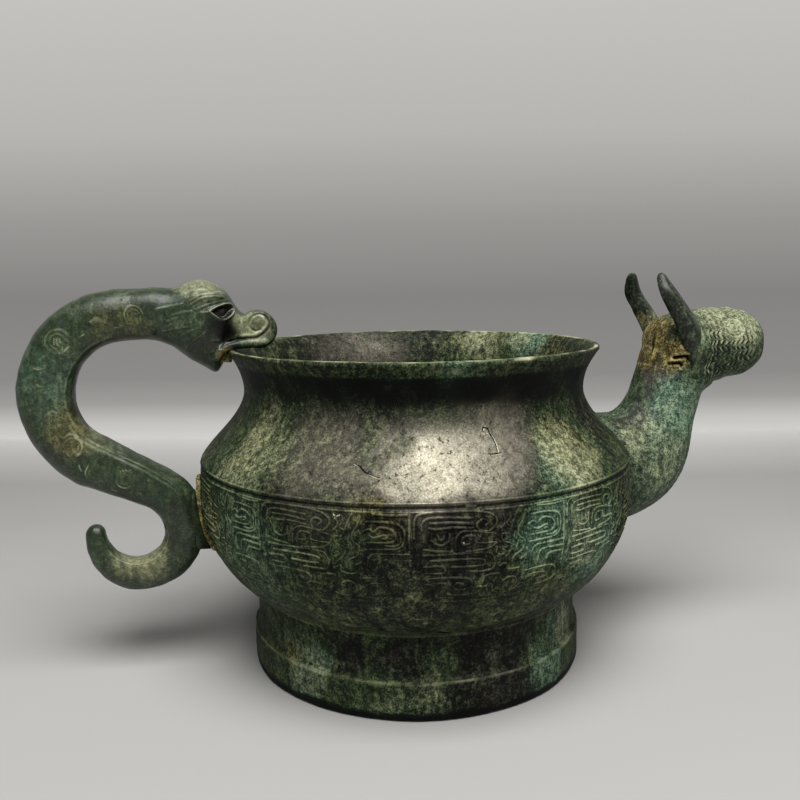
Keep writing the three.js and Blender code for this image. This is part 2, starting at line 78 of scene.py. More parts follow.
# The ornament repeats round the belly. One unit in degrees along the belly and heights in millimetres.
BAND_UNITS = 10
BAND_START = -13.4
BAND_UNIT = 360 / BAND_UNITS
BAND_LINES = [
    [(1.2, 77), (1.4, 83.5), (3.2, 85.6), (9, 86), (14.5, 85.7), (18, 84.2), (19, 81.4), (17.4, 78.7),
     (15.2, 79.1), (14.6, 81.4), (15.8, 82.8), (17.2, 81.8), (16.4, 80.6)],
    [(2.8, 79.5), (3, 82.6), (4.6, 84), (9, 84), (13.6, 83.5)],
    [(4.4, 82.2), (9, 82.3), (13.4, 81.6)],
    [(4.2, 80.6), (6, 80.2), (9.4, 80.6), (13.6, 80)],
    [(4.8, 79), (5, 76), (6.8, 74.7), (8.4, 75.8), (8.6, 78.8)],
    [(6, 78.6), (6.4, 76.8), (7.2, 76.7), (7.6, 78.4)],
    [(9.8, 72.8), (10, 77), (11.4, 79), (14, 79), (18.8, 77.4)],
    [(13, 74.6), (11.4, 74.5), (11.2, 76.4), (12.4, 77.5), (14.4, 77), (14.6, 74.9), (19, 74.4)],
    [(3, 73.4), (6, 72.6), (9.4, 72.2)],
    [(3, 71.2), (10, 71.4), (16.4, 71.2), (18.2, 69.6), (18.5, 66), (17, 64.6), (12, 64.8)],
    [(4.4, 69.2), (11, 69.4), (15.4, 69), (16.4, 67.8), (15.4, 66.6), (9, 66.8)],
    [(3, 67), (7, 67.2), (7.4, 64.8), (3.4, 64.6)],
    [(24.2, 85.6), (23, 82), (21.8, 77.4), (20.2, 77), (20.4, 74.6), (22.4, 73.2), (21.8, 70), (20.4, 68)],
    [(26, 84.8), (25.2, 81.4), (24, 78), (24.2, 75.6), (25.6, 73.8), (25, 70.6), (23, 68.8), (22.6, 66)],
    [(20.4, 84.2), (20.8, 81), (19.9, 79.2)],
    [(27, 82.6), (30, 82.8), (33.4, 82.2), (35, 80.2), (35, 75.6), (33.6, 73.6), (30, 73.2), (26.6, 73)],
    [(26.2, 79), (27.6, 80.2), (28.8, 79.2), (30, 80.8), (32.4, 80.2), (33.4, 78), (32.4, 75.8),
     (27.2, 75.4)],
    [(27.6, 78), (28.8, 77.2), (31, 78.2), (31.6, 77.4), (30.4, 76.9)],
    [(27.2, 64.6), (27.4, 69.4), (28.6, 71.4), (31, 71.6), (36.6, 71.6)],
    [(29.2, 65), (29.6, 68.4), (31, 69.6), (36.6, 69.4)],
    [(31.6, 65.4), (32, 67.2), (33.4, 67.6), (36.6, 67.4)],
    [(0.3, 86), (0.2, 78), (0.3, 70), (0.2, 62)],
    [(36.4, 85.4), (33, 85), (28.4, 85.4)],
    [(3, 62.6), (9, 62.8), (13, 62), (13.6, 59.4), (11.6, 57.8), (9.6, 58.8), (10.4, 60.6), (11.8, 60)],
    [(3.4, 60.4), (7.8, 60.6), (8, 56.8), (12.4, 55.6), (16, 57), (16.4, 62.4), (20, 63)],
    [(18.8, 60.6), (18.6, 56.6), (21, 55), (24, 56), (24.2, 60), (22.4, 61), (21, 59.6), (22, 58.2)],
    [(26, 62.4), (30, 62.8), (34, 62.2), (34.8, 58.6), (33, 56.4), (27.4, 56.2), (26.6, 59), (28, 60.6),
     (31.6, 60.4), (32, 58.6), (29.4, 58.2)],
    [(2.6, 57.6), (2.4, 54.2), (6.4, 53.4), (15, 53), (24, 53.4), (34, 53.2)],
    [(21.8, 84.8), (22, 82.4), (21.2, 80.6), (22.4, 79.2)],
    [(19.2, 73), (18.9, 71), (20, 69.8), (21, 71), (20.2, 71.9)],
    [(23.4, 71.4), (23.9, 74), (23, 75.8), (23.3, 77.6)],
    [(24.6, 67.2), (26, 68.6), (26.3, 71.4)],
    [(19.6, 65.6), (21.2, 66.6), (21.4, 64.4), (24.4, 64), (25, 65.8)],
    [(31, 74.6), (33, 74.4), (34.4, 75.8), (34.2, 79.6)],
    [(14.8, 61), (14.6, 58.8), (17.2, 58.4)],
    [(25.2, 58.4), (25.4, 54.8), (30, 54.6)],
    [(4, 58.8), (5.8, 58.6), (6, 55.4), (9, 54.6)],
    [(12, 71.9), (17, 72.6), (19, 74.4)],
]
THREAD_RADIUS = 0.56
THREAD_SINK = 0.05
THREAD_FADE = 0.55
SHOULDER_LINES = [(88.8, 1.0), (85.9, 0.9)]
LINE_SPANS = [(-75, 74), (106, 255)]
LINE_SINK = 0.2
# Degrees round from the near side to the spout and the handle, and the room the ornament leaves for each
FITTINGS = [(90, 16), (-90, 7)]
# Depth of the outer skin, and heights where its marks change: neck, with a painted shadow under the rim,
# shoulder groove, with painted shade, and ground of the ornament
SKIN_DEPTH = 1.5
NECK_START = 110
NECK_SHADOW = [(112, 125), (127.5, 130)]
GROOVE_HEIGHTS = (86.9, 87.9)
GROUND_HEIGHTS = (52, 86.9)
# Casting cracks on the shoulder, pale flecks and a patch over the shoulder line, in degrees and heights
SHOULDER_CRACKS = [
    [(8, 108.6), (7, 109.2), (7.2, 110.4), (8.4, 110), (9, 108), (9.6, 105.4), (9.4, 102.4)],
    [(6.6, 102.2), (8, 102), (10.4, 102.2)],
    [(-27, 100.2), (-25, 99.2), (-23.4, 97.6), (-20, 96)],
]
PALE_FLECKS = [
    [(-29.6, 84.6), (-29, 83.8), (-28, 84.4)],
    [(-29, 83.8), (-29.2, 83)],
    [(-2.2, 75.2), (-1.6, 75)],
]
CAST_PATCH = [(-1.4, 87.8), (0, 87.4), (1.2, 87.7)]
CRACK_RADIUS = 0.38
CRACK_EDGE_RADIUS = 0.36
CRACK_EDGE_SHIFT = 0.35
FLECK_RADIUS = 0.3
PATCH_RADIUS = 2.2


def flowing(points, steps=5):
    """A smooth run through a few points."""
    knots = [Vector(point) for point in points]
    knots = [2 * knots[0] - knots[1], *knots, 2 * knots[-1] - knots[-2]]
    run = []
    for before, start, end, after in zip(knots, knots[1:], knots[2:], knots[3:]):
        pull = (end - before) / 6
        push = (after - start) / 6
        run += interpolate_bezier(start, start + pull, end - push, end, steps + 1)[:-1]
    return run + [knots[-2]]


def spun(profile, steps):
    """A turned wall, from a profile in radius and height that starts and ends on the axis or closes."""
    bm = bmesh.new()
    chain = [bm.verts.new(AXIS + Vector((radius, 0, height)) * MM) for radius, height in profile]
    edges = [bm.edges.new(pair) for pair in zip(chain, chain[1:])]
    bmesh.ops.spin(bm, geom=chain + edges, cent=AXIS, axis=(0, 0, 1), angle=2 * math.pi, steps=steps,
                   use_merge=True)
    bmesh.ops.remove_doubles(bm, verts=bm.verts, dist=1e-6)
    bmesh.ops.recalc_face_normals(bm, faces=bm.faces)
    return bm


def soft_step(value, low, high):
    share = min(1.0, max(0.0, (value - low) / (high - low)))
    return share * share * (3 - 2 * share)


def wave_at(place, waves):
    """How far a cast skin swells or sinks at a place, from waves of a height and a grain."""
    return sum(swell * noise.noise(place / (grain * MM)) for swell, grain in waves)


def weather(bm, *waves):
    """An uneven cast skin, moved along its normals by waves of a height and a grain."""
    bm.normal_update()
    moves = [vert.normal * (MM * wave_at(vert.co, waves)) for vert in bm.verts]
    for vert, move in zip(bm.verts, moves):
        vert.co += move


def threads(runs, radius):
    """Raised cast lines: each run is a list of places with the share of the full thickness there."""
    curve = bpy.data.curves.new("threads", "CURVE")
    curve.dimensions = "3D"
    curve.bevel_depth = radius * MM
    curve.bevel_resolution = 1
    curve.use_fill_caps = True
    for run in runs:
        spline = curve.splines.new("POLY")
        spline.points.add(len(run) - 1)
        for point, (place, share) in zip(spline.points, run):
            point.co = (*place, 1)
            point.radius = share
    holder = bpy.data.objects.new("threads", curve)
    mesh = bpy.data.meshes.new_from_object(holder)
    bpy.data.objects.remove(holder)
    bpy.data.curves.remove(curve)
    return mesh


def placed(name, data):
    """A new object in the scene."""
    made = bpy.data.objects.new(name, data)
    bpy.context.scene.collection.objects.link(made)
    return made


def piece(name, bm, material):
    """The finished mesh as an object of its own, with smooth shading."""
    mesh = bpy.data.meshes.new(name)
    for face in bm.faces:
        face.smooth = True
    bm.to_mesh(mesh)
    bm.free()
    mesh.materials.append(material)
    return placed(name, mesh)


def finished_mesh(made):
    """The mesh of a working object with its modifiers applied; the object itself is removed."""
    bpy.context.view_layer.update()
    ready = made.evaluated_get(bpy.context.evaluated_depsgraph_get())
    mesh = bpy.data.meshes.new_from_object(ready)
    bpy.data.objects.remove(made)
    return mesh


def pierced(bm, cutters):
    """The casting with round holes cut through it, each cutter a radius and two ends of its axis."""
    blank = piece("blank", bm, None)
    tools = []
    for radius, start, end in cutters:
        tool = bmesh.new()
        turn = Vector((0, 0, 1)).rotation_difference(end - start).to_matrix().to_4x4()
        spot = Matrix.Translation((start + end) / 2) @ turn
        bmesh.ops.create_cone(tool, cap_ends=True, segments=48, radius1=radius, radius2=radius,
                              depth=(end - start).length, matrix=spot)
        tools.append(piece("cutter", tool, None))
        cut = blank.modifiers.new("hole", "BOOLEAN")
        cut.operation = "DIFFERENCE"
        cut.solver = "EXACT"
        cut.object = tools[-1]
    result = bmesh.new()
    result.from_mesh(finished_mesh(blank))
    for tool in tools:
        bpy.data.objects.remove(tool)
    return result


plain_profile = []
outer_profile = []
for curve in BOWL_CURVES:
    run = interpolate_bezier(*[Vector(point) for point in curve], CURVE_STEPS)
    plain_profile += run[:-1]
    outer_profile += run if curve is BOWL_CURVES[1] else run[:-1]
    if curve is BOWL_CURVES[1]:
        outer_profile += [Vector(point) for point in SHOULDER_GROOVE]
outer_profile.append(run[-1])
inner_profile = []
for before, here, after in zip(plain_profile, plain_profile[1:], plain_profile[2:]):
    along = (after - before).normalized()
    inner_profile.append(here + BOWL_WALL * Vector((-along.y, along.x)))
base_height = BOWL_CURVES[0][0][1]
base_run = [(radius, base_height) for radius in BASE_RADII]
floor_run = [(radius, base_height + BOWL_WALL) for radius in reversed(BASE_RADII)]
bowl_bm = spun([*base_run, *outer_profile, *LIP_EDGE, *reversed(inner_profile), *floor_run], BOWL_STEPS)
weather(bowl_bm, *BOWL_WAVES)
heights = [point.y for point in outer_profile]
radii = [point.x for point in outer_profile]


def bowl_radius(height):
    return float(np.interp(height, heights, radii))


def on_bowl(angle, height, lift=0.0):
    """A place on the bowl's outside: degrees from the near side, height and lift in millimetres."""
    turn = math.radians(angle)
    out = Vector((math.sin(turn), -math.cos(turn), 0))
    place = AXIS + (out * bowl_radius(height) + Vector((0, 0, height))) * MM
    return place + out * (lift + wave_at(place, BOWL_WAVES)) * MM


spout_root = AXIS + Vector((HOLE_START, 0, SPOUT_HEIGHT)) * MM
tenon_root = AXIS + Vector((-HOLE_START, 0, TENON_HEIGHT)) * MM
hole_reach = Vector((HOLE_REACH, 0, 0)) * MM
bowl_bm = pierced(bowl_bm, [
    (SPOUT_HOLE_RADIUS * MM, spout_root, spout_root + hole_reach),
    (TENON_HOLE_RADIUS * MM, tenon_root, tenon_root - hole_reach),
])


def thread_share(place):
    """Lines are worn away in places and lower down on the belly."""
    wear = 0.85 + 0.5 * noise.noise(place / (16 * MM))
    low = (place.z / MM - 50) / 16
    return max(0.45, min(1.1, wear) * min(1.0, 0.55 + 0.45 * low))


def has_room(angle):
    """Whether a line that starts at these degrees clears the spout and the handle."""
    return all(abs((angle - side + 180) % 360 - 180) >= room for side, room in FITTINGS)


thread_runs = []
for unit in range(BAND_UNITS):
    start = BAND_START + unit * BAND_UNIT
    for line in BAND_LINES:
        if not has_room(start + line[0][0]):
            continue
        run = []
        for angle, height in flowing(line):
            share = thread_share(on_bowl(start + angle, height))
            sink = THREAD_SINK + (1 - share) * THREAD_FADE
            run.append((on_bowl(start + angle, height, -sink), share))
        thread_runs.append(run)
for height, share in SHOULDER_LINES:
    for first, last in LINE_SPANS:
        thread_runs.append([(on_bowl(angle, height, -LINE_SINK), share) for angle in range(first, last, 2)])
# The lip is rubbed bright. A painted shadow falls on the neck under the rim, strongest on the near side, and
# painted shade lies in the shoulder groove; the ground between the threads is darker, fading out towards its
# bottom
relief_and_light_layer = bowl_bm.verts.layers.float.new("relief_and_painted_light")
for vert in bowl_bm.verts:
    height = vert.co.z / MM
    from_axis = math.hypot(vert.co.x - AXIS.x, vert.co.y)
    outside = from_axis / MM > bowl_radius(height) - SKIN_DEPTH
    if height > LIP_EDGE[2][1] - 0.4:
        vert[relief_and_light_layer] = 0.62 + 0.7 * noise.noise(vert.co / (7 * MM))
    elif outside and height > NECK_START:
        shade = soft_step(height, *NECK_SHADOW[0]) * (1 - soft_step(height, *NECK_SHADOW[1]))
        facing = 0.4 + 0.6 * max(0.0, -vert.co.y / from_axis) ** 2
        vert[relief_and_light_layer] = -shade * facing * (0.8 + 0.6 * noise.noise(vert.co / (10 * MM)))
    elif outside and GROOVE_HEIGHTS[0] < height < GROOVE_HEIGHTS[1]:
        vert[relief_and_light_layer] = -0.4
    elif outside and GROUND_HEIGHTS[0] < height < GROUND_HEIGHTS[1]:
        vert[relief_and_light_layer] = -0.2 * soft_step(height, 50, 66)


def lay_threads(bm, runs, radius, mark):
    """Adds raised lines to a casting, and marks them by mark(outward, upward): how worn or dirty they are,
    and for some lines a painted highlight and painted shade by which way the skin faces.
    """
    before = set(bm.verts)
    bm.from_mesh(threads(runs, radius))
    bm.normal_update()
    layer = bm.verts.layers.float["relief_and_painted_light"]
    for vert in set(bm.verts) - before:
        out = Vector((vert.co.x - AXIS.x, vert.co.y, 0)).normalized()
        vert[layer] = mark(vert.normal.dot(out), vert.normal.z)


def lit_tops_shaded_undersides(outward, upward):
    """Threads are paler where they face out and up and near black along their lower sides: a painted
    highlight and a painted shade.
    """
    return -0.6 + 1.12 * max(0.0, outward) + 0.4 * upward


def even(mark):
    """The same wear all over a raised line."""
    return lambda outward, upward: mark


lay_threads(bowl_bm, thread_runs, THREAD_RADIUS, lit_tops_shaded_undersides)
crack_runs = []
crack_edges = []
for crack in SHOULDER_CRACKS:
    places = flowing(crack, 4)
    swells = [0.5 + 0.5 * math.sin(math.pi * (step + 0.5) / len(places)) for step in range(len(places))]
    crack_runs.append([(on_bowl(*place, -0.15), share) for place, share in zip(places, swells)])
    crack_edges.append([(on_bowl(angle + CRACK_EDGE_SHIFT, height - CRACK_EDGE_SHIFT, -0.2), 0.8)
                        for angle, height in places])
fleck_runs = [[(on_bowl(*place, -0.05), 1) for place in fleck] for fleck in PALE_FLECKS]
patch_run = [(on_bowl(*place, -1.5), 1) for place in CAST_PATCH]
lay_threads(bowl_bm, crack_runs, CRACK_RADIUS, even(-0.75))
lay_threads(bowl_bm, crack_edges, CRACK_EDGE_RADIUS, even(0.8))
lay_threads(bowl_bm, fleck_runs, FLECK_RADIUS, even(1.0))
lay_threads(bowl_bm, [patch_run], PATCH_RADIUS, even(-0.1))


def feed(socket, value):
    """Joins a node's input to another node's output, or sets it to a value."""
    if isinstance(value, bpy.types.NodeSocket):
        socket.id_data.links.new(value, socket)
    else:
        socket.default_value = value


def place_node(tree, kind, inputs=None, **settings):
    """A shader node with its settings, and its inputs joined to sockets or set to values."""
    node = tree.nodes.new(kind)
    for name, value in settings.items():
        setattr(node, name, value)
    for name, value in (inputs or {}).items():
        feed(node.inputs[name], value)
    return node


def new_group(name, inputs, outputs):
    """An empty shader group, with the kind of each named input and output."""
    tree = bpy.data.node_groups.new(name, "ShaderNodeTree")
    for way, sockets in (("INPUT", inputs), ("OUTPUT", outputs)):
        for label, kind in sockets.items():
            tree.interface.new_socket(label, in_out=way, socket_type="NodeSocket" + kind)
    return tree, tree.nodes.new("NodeGroupInput").outputs, tree.nodes.new("NodeGroupOutput").inputs


def mottle(spot, scale, detail, rough, bend=0.0):
    """Cloudy variation; `scale` is how many clouds there are in a metre."""
    settings = {"Vector": spot, "Scale": scale, "Detail": detail, "Roughness": rough, "Distortion": bend}
    return place_node(spot.id_data, "ShaderNodeTexNoise", settings).outputs["Fac"]


def sums(how, first, second):
    """Two values put together; at least one of them comes from a node."""
    tree = (first if isinstance(first, bpy.types.NodeSocket) else second).id_data
    return place_node(tree, "ShaderNodeMath", {0: first, 1: second}, operation=how).outputs[0]


def stepped(value, low, high):
    """A soft step from 0 to 1 as the value goes from low to high."""
    settings = {"Value": value, "From Min": low, "From Max": high}
    node = place_node(value.id_data, "ShaderNodeMapRange", settings, interpolation_type="SMOOTHSTEP")
    return node.outputs["Result"]


def mixed(share, first, second, how="MIX"):
    """Two colours blended by a share."""
    settings = {0: share, 6: first, 7: second}
    return place_node(share.id_data, "ShaderNodeMix", settings, data_type="RGBA", blend_type=how).outputs[2]


def ramped(value, stops):
    """Colours that follow a value, each stop a spot from 0 to 1 and a colour."""
    node = place_node(value.id_data, "ShaderNodeValToRGB", {0: value})
    for _ in stops[2:]:
        node.color_ramp.elements.new(0.5)
    for element, (spot, colour) in zip(node.color_ramp.elements, stops):
        element.position = spot
        element.color = colour
    return node.outputs["Color"]


def rgb(red, green, blue):
    return (red, green, blue, 1.0)


# A patch of skin round a point, with a ragged edge, as a mask
patch_group, patch_in, patch_out = new_group(
    "skin_patch", {"Centre": "Vector", "Size": "Float", "Ragged": "Float"}, {"Mask": "Float"})
patch_spot = place_node(patch_group, "ShaderNodeTexCoord").outputs["Object"]
patch_cloud = mottle(patch_spot, 60, 10, 0.72)
patch_gap = place_node(patch_group, "ShaderNodeVectorMath", {0: patch_spot, 1: patch_in["Centre"]},
                       operation="DISTANCE").outputs["Value"]
patch_share = sums("DIVIDE", patch_gap, patch_in["Size"])
patch_edge = sums("MULTIPLY", sums("SUBTRACT", patch_cloud, 0.5), patch_in["Ragged"])
feed(patch_out["Mask"], stepped(sums("ADD", patch_share, patch_edge), 1.6, 0.4))

# Old bronze: a dark skin under grainy green and blue-green crust, ochre earth and dust, rubbed to metal in
# places. Each mineral has three shades, from its pits to its worn crests.
SHADE_SPOTS = (0.06, 0.5, 0.94)
MINERAL_SHADES = {
    "bare": [(0.001, 0.001, 0.0007), (0.007, 0.007, 0.005), (0.042, 0.040, 0.028)],
    "Green": [(0.004, 0.009, 0.004), (0.024, 0.042, 0.018), (0.098, 0.124, 0.052)],
    "Blue": [(0.020, 0.050, 0.032), (0.098, 0.180, 0.116), (0.270, 0.385, 0.255)],
    "Ochre": [(0.030, 0.022, 0.007), (0.155, 0.120, 0.036), (0.460, 0.385, 0.140)],
    "Dust": [(0.080, 0.088, 0.046), (0.235, 0.250, 0.138), (0.500, 0.510, 0.320)],
    "metal": [(0.100, 0.091, 0.069), (0.225, 0.206, 0.157), (0.390, 0.360, 0.282)],
    # Pale tone for worn crests, and for painted highlights on lines and edges that face the lamp
    "crest_and_highlight": [(0.110, 0.112, 0.064), (0.290, 0.288, 0.175), (0.570, 0.550, 0.370)],
}
LINE_TONE = (0.11, 0.115, 0.072)
# Near-black tone for grime in pits and hollows, and for painted shade and painted shadows
DIRT_AND_SHADE_TONE = (0.0015, 0.0015, 0.001)
DUST_SHARE = 0.85
LINE_SHARE = 0.36
CREST_AND_HIGHLIGHT_SHARE = 0.8
PIT_SHARE = 0.8
DIRT_AND_SHADE_SHARE = 0.88
LEAST_ROUGH = 0.39
PATCH_RAGGED = 2.6
PITTING = 0.8
WAX_ROUGH = 0.22
old_bronze, skin_in, skin_out = new_group(
    "old_bronze", dict.fromkeys(("Green", "Blue", "Dust", "Ochre", "Polish", "Smooth"), "Float"),
    {"Color": "Color", "Roughness": "Float", "Metal": "Float", "Height": "Float"})
spot = place_node(old_bronze, "ShaderNodeTexCoord").outputs["Object"]
moved_spot = place_node(old_bronze, "ShaderNodeVectorMath", {0: spot, 1: (0.37, 0.11, 0.23)}).outputs[0]
drawn_out = {"Vector": moved_spot, "Scale": (1, 1, 0.22)}
drawn_spot = place_node(old_bronze, "ShaderNodeMapping", drawn_out).outputs[0]
clouds = mottle(spot, 30, 9, 0.66, 0.4)
other_clouds = mottle(moved_spot, 42, 9, 0.7, 0.5)
blotches = mottle(spot, 120, 8, 0.72, 0.3)
flecks = mottle(moved_spot, 470, 6, 0.75)
grains = mottle(spot, 1500, 3, 0.7)
streaks = mottle(drawn_spot, 380, 6, 0.7)
# Per-vertex marks carry wear, grime and raised ornament, and also painted light: strong positive marks give
# the pale tone of worn crests and painted highlights, negative marks the near black of grime and painted
# shade.
relief_and_painted_light = place_node(old_bronze, "ShaderNodeAttribute", attribute_name="relief_and_painted_light").outputs["Fac"]
raised = stepped(relief_and_painted_light, 0.0, 0.6)
crest_and_highlight = stepped(relief_and_painted_light, 0.5, 1.0)
sunk_and_shaded = stepped(relief_and_painted_light, -0.05, -0.9)
pits = stepped(flecks, 0.42, 0.32)


def weighed(*parts):
    """A sum of fields, each with its own weight."""
    total = 0.0
    for field, weight in parts:
        total = sums("ADD", total, sums("MULTIPLY", field, weight))
    return total


def hairlines(spot, scale, width):
    """Thin lines that wander over the skin, as old scratches and the edges of crust do."""
    gap = sums("SUBTRACT", mottle(spot, scale, 2, 0.5, 1.2), 0.5)
    return stepped(sums("ABSOLUTE", gap, 0.0), width, 0.0)


def crust(cloud, amount, soft):
    """How far a mineral covers the skin, for an amount from 0 to 1."""
    level = weighed((cloud, 0.46), (blotches, 0.2), (flecks, 0.2), (streaks, 0.14), (amount, 0.5))
    return stepped(sums("SUBTRACT", level, 0.75), -soft, soft)


lines = sums("MAXIMUM", hairlines(spot, 140, 0.02), hairlines(moved_spot, 300, 0.03))
lines = sums("MULTIPLY", lines, stepped(blotches, 0.48, 0.6))
speck_field = weighed((flecks, 0.35), (grains, 0.34), (blotches, 0.12), (streaks, 0.19), (raised, 0.07),
                      (sunk_and_shaded, -0.15))
metal_speck = stepped(speck_field, 0.36, 0.65)
quieting = {0: sums("MULTIPLY", skin_in["Smooth"], 0.55), 2: stepped(speck_field, 0.415, 0.6), 3: 0.4}
speck = place_node(old_bronze, "ShaderNodeMix", quieting, data_type="FLOAT").outputs[0]
covers = {
    "Green": crust(clouds, skin_in["Green"], 0.18),
    "Blue": crust(other_clouds, skin_in["Blue"], 0.18),
    "Ochre": crust(other_clouds, skin_in["Ochre"], 0.19),
    "Dust": crust(other_clouds, weighed((skin_in["Dust"], 1.0), (raised, 0.05), (sunk_and_shaded, -0.3)), 0.19),
}
tones = {}
for name, three in MINERAL_SHADES.items():
    stops = [(share, rgb(*colour)) for share, colour in zip(SHADE_SPOTS, three)]
    tones[name] = ramped(metal_speck if name == "metal" else speck, stops)
tone = tones["bare"]
mineral = sunk_and_shaded
for name, cover in covers.items():
    mineral = sums("MAXIMUM", mineral, cover)
    tone = mixed(sums("MULTIPLY", cover, DUST_SHARE) if name == "Dust" else cover, tone, tones[name])
metal = sums("MULTIPLY", sums("SUBTRACT", 1.0, mineral), skin_in["Polish"])
dirt_and_shade = sums("MAXIMUM", sunk_and_shaded, sums("MULTIPLY", pits, PIT_SHARE))
tone = mixed(metal, tone, tones["metal"])
tone = mixed(sums("MULTIPLY", lines, LINE_SHARE), tone, rgb(*LINE_TONE), "ADD")
tone = mixed(sums("MULTIPLY", crest_and_highlight, CREST_AND_HIGHLIGHT_SHARE), tone, tones["crest_and_highlight"])
tone = mixed(sums("MULTIPLY", dirt_and_shade, DIRT_AND_SHADE_SHARE), tone, rgb(*DIRT_AND_SHADE_TONE))
plain = sums("SUBTRACT", 1.0, skin_in["Polish"])
rough = weighed((mineral, 0.1), (plain, 0.06), (flecks, 0.2), (skin_in["Smooth"], -0.3))
height = weighed((flecks, 0.55), (grains, 0.3), (mineral, 0.2), (lines, 0.25), (pits, -0.3))
height = sums("MULTIPLY", height, sums("ADD", sums("MULTIPLY", plain, 0.55), 0.45))
feed(skin_out["Color"], tone)
feed(skin_out["Roughness"], sums("ADD", rough, LEAST_ROUGH))
feed(skin_out["Metal"], metal)
feed(skin_out["Height"], height)


def painted(tree, amount, patches):
    """An amount that differs in patches, each a place on the object in millimetres, a size and a value."""
    for place, size, value in patches:
        settings = {"Centre": AXIS + Vector(place) * MM, "Size": size * MM, "Ragged": PATCH_RAGGED}
        mask = place_node(tree, "ShaderNodeGroup", settings, node_tree=patch_group).outputs["Mask"]
        blend = place_node(tree, "ShaderNodeMix", {0: mask, 2: amount, 3: value}, data_type="FLOAT")
        amount = blend.outputs[0]
    return amount


def bronze(name, bump, wax, gloss, **amounts):
    """A bronze finish from the old bronze group; each amount is a value, or a value and its patches."""
    material = bpy.data.materials.new(name)
    material.use_nodes = True
    tree = material.node_tree
    shader = tree.nodes["Principled BSDF"].inputs
    skin = place_node(tree, "ShaderNodeGroup", node_tree=old_bronze)
    for label, amount in amounts.items():
        start, patches = amount if isinstance(amount, tuple) else (amount, [])
        feed(skin.inputs[label], painted(tree, start, patches))
    pitting = place_node(tree, "ShaderNodeBump", {"Strength": PITTING, "Distance": bump * MM})
    feed(pitting.inputs["Height"], skin.outputs["Height"])
    feed(shader["Base Color"], skin.outputs["Color"])
    feed(shader["Roughness"], skin.outputs["Roughness"])
    feed(shader["Metallic"], skin.outputs["Metal"])
    feed(shader["Normal"], pitting.outputs["Normal"])
    shader["Specular IOR Level"].default_value = gloss
    shader["Coat Weight"].default_value = wax
    shader["Coat Roughness"].default_value = WAX_ROUGH
    return material


def round_patches(*rows):
    """Patches on the vessel's round: degrees off the near side, height, radius, size and value."""
    patches = []
    for angle, height, radius, size, value in rows:
        turn = math.radians(angle)
        patches.append(((radius * math.sin(turn), -radius * math.cos(turn), height), size, value))
    return patches


def dressed(name, bm, material, node):
    """The finished piece of a node, on the one body of the vessel."""
    made = piece(name, bm, material)
    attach(made, "root")
    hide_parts(node)


# On the near neck under the rim, little green and no dust leave the dark bare skin, in part a painted shadow
# under the rim.
bowl_bronze = bronze(
    "bowl_bronze", 0.4, 0.0, 0.12,
    Green=(0.55, round_patches(
        (-4, 98, 84, 24, 0.1), (-34, 100, 81, 20, 0.12), (-19, 107, 75, 10, 0.9), (9, 104, 77, 20, 0.05),
        (34, 99, 82, 20, 1.0), (56, 107, 75, 14, 0.3), (-62, 99, 82, 20, 0.9), (-6, 122, 72, 22, 0.2),
        (-6, 132, 77, 20, 0.75), (0, 79, 91, 20, 0.25), (-33, 80, 91, 13, 0.45), (-64, 68, 90, 26, 0.9),
        (28, 74, 91, 22, 1.0), (66, 70, 91, 14, 0.4), (-12, 56, 88, 24, 0.38), (135, 127, 73, 18, 0.9),
        (168, 127, 74, 12, 0.35), (205, 126, 73, 24, 0.3), (200, 100, 82, 24, 0.2),
        (150, 66, 90, 40, 0.85))),
    Blue=(0.15, round_patches(
        (20, 77, 91, 13, 0.62), (36, 64, 90, 16, 0.62), (-58, 66, 90, 22, 0.42), (24, 95, 86, 11, 0.5),
        (118, 130, 76, 12, 0.6), (0, 131, 77, 8, 0.4), (170, 70, 90, 30, 0.5))),
    Dust=(0.05, round_patches(
        (-8, 97, 84, 12, 0.5), (9, 104, 77, 18, 0.0), (29, 98, 83, 15, 0.66), (-58, 101, 80, 17, 0.55),
        (-19, 106, 76, 10, 0.45), (50, 106, 76, 12, 0.2), (30, 70, 91, 13, 0.46), (-72, 72, 91, 9, 0.3),
        (140, 128, 74, 12, 0.7), (122, 130, 76, 8, 0.6), (0, 79, 91, 20, 0.05), (-6, 122, 72, 28, 0.0),
        (190, 96, 85, 24, 0.45))),
    Ochre=(0.15, round_patches(
        (-70, 72, 91, 9, 0.4), (-20, 84, 91, 8, 0.3), (32, 102, 80, 12, 0.48), (-60, 102, 80, 13, 0.4),
        (140, 128, 74, 12, 0.45), (205, 126, 73, 24, 0.15), (100, 130, 76, 10, 0.28))),
    Polish=(0.0, round_patches(
        (-34, 101, 80, 18, 0.4), (9, 105, 77, 17, 0.8), (-6, 102, 80, 16, 1.0), (-10, 95, 86, 10, 1.0),
        (6, 95, 86, 9, 0.9), (205, 126, 73, 20, 0.05), (190, 104, 80, 26, 0.6))))
dressed("bowl_casting", bowl_bm, bowl_bronze, "bowl")

# Foot ring. A cast ring with a straight wall and a wider band at the bottom, cut on top to the round of the
# bowl. Bronze. The bowl sits in it and is held by a solder fillet inside.
FOOT_RADIUS = 71
FOOT_WAIST = 69.4
FOOT_WALL = 4
FOOT_BAND = 14.5
LEDGE_WIDTH = 0.8
SEAT_BEAD_RADIUS = 1.4
SEAT_BEAD_STEPS = 241
foot_inside = FOOT_WAIST - FOOT_WALL
base_curve = (radii[:CURVE_STEPS], heights[:CURVE_STEPS])
seat_outer = float(np.interp(FOOT_WAIST, *base_curve))
seat_inner = float(np.interp(foot_inside, *base_curve))
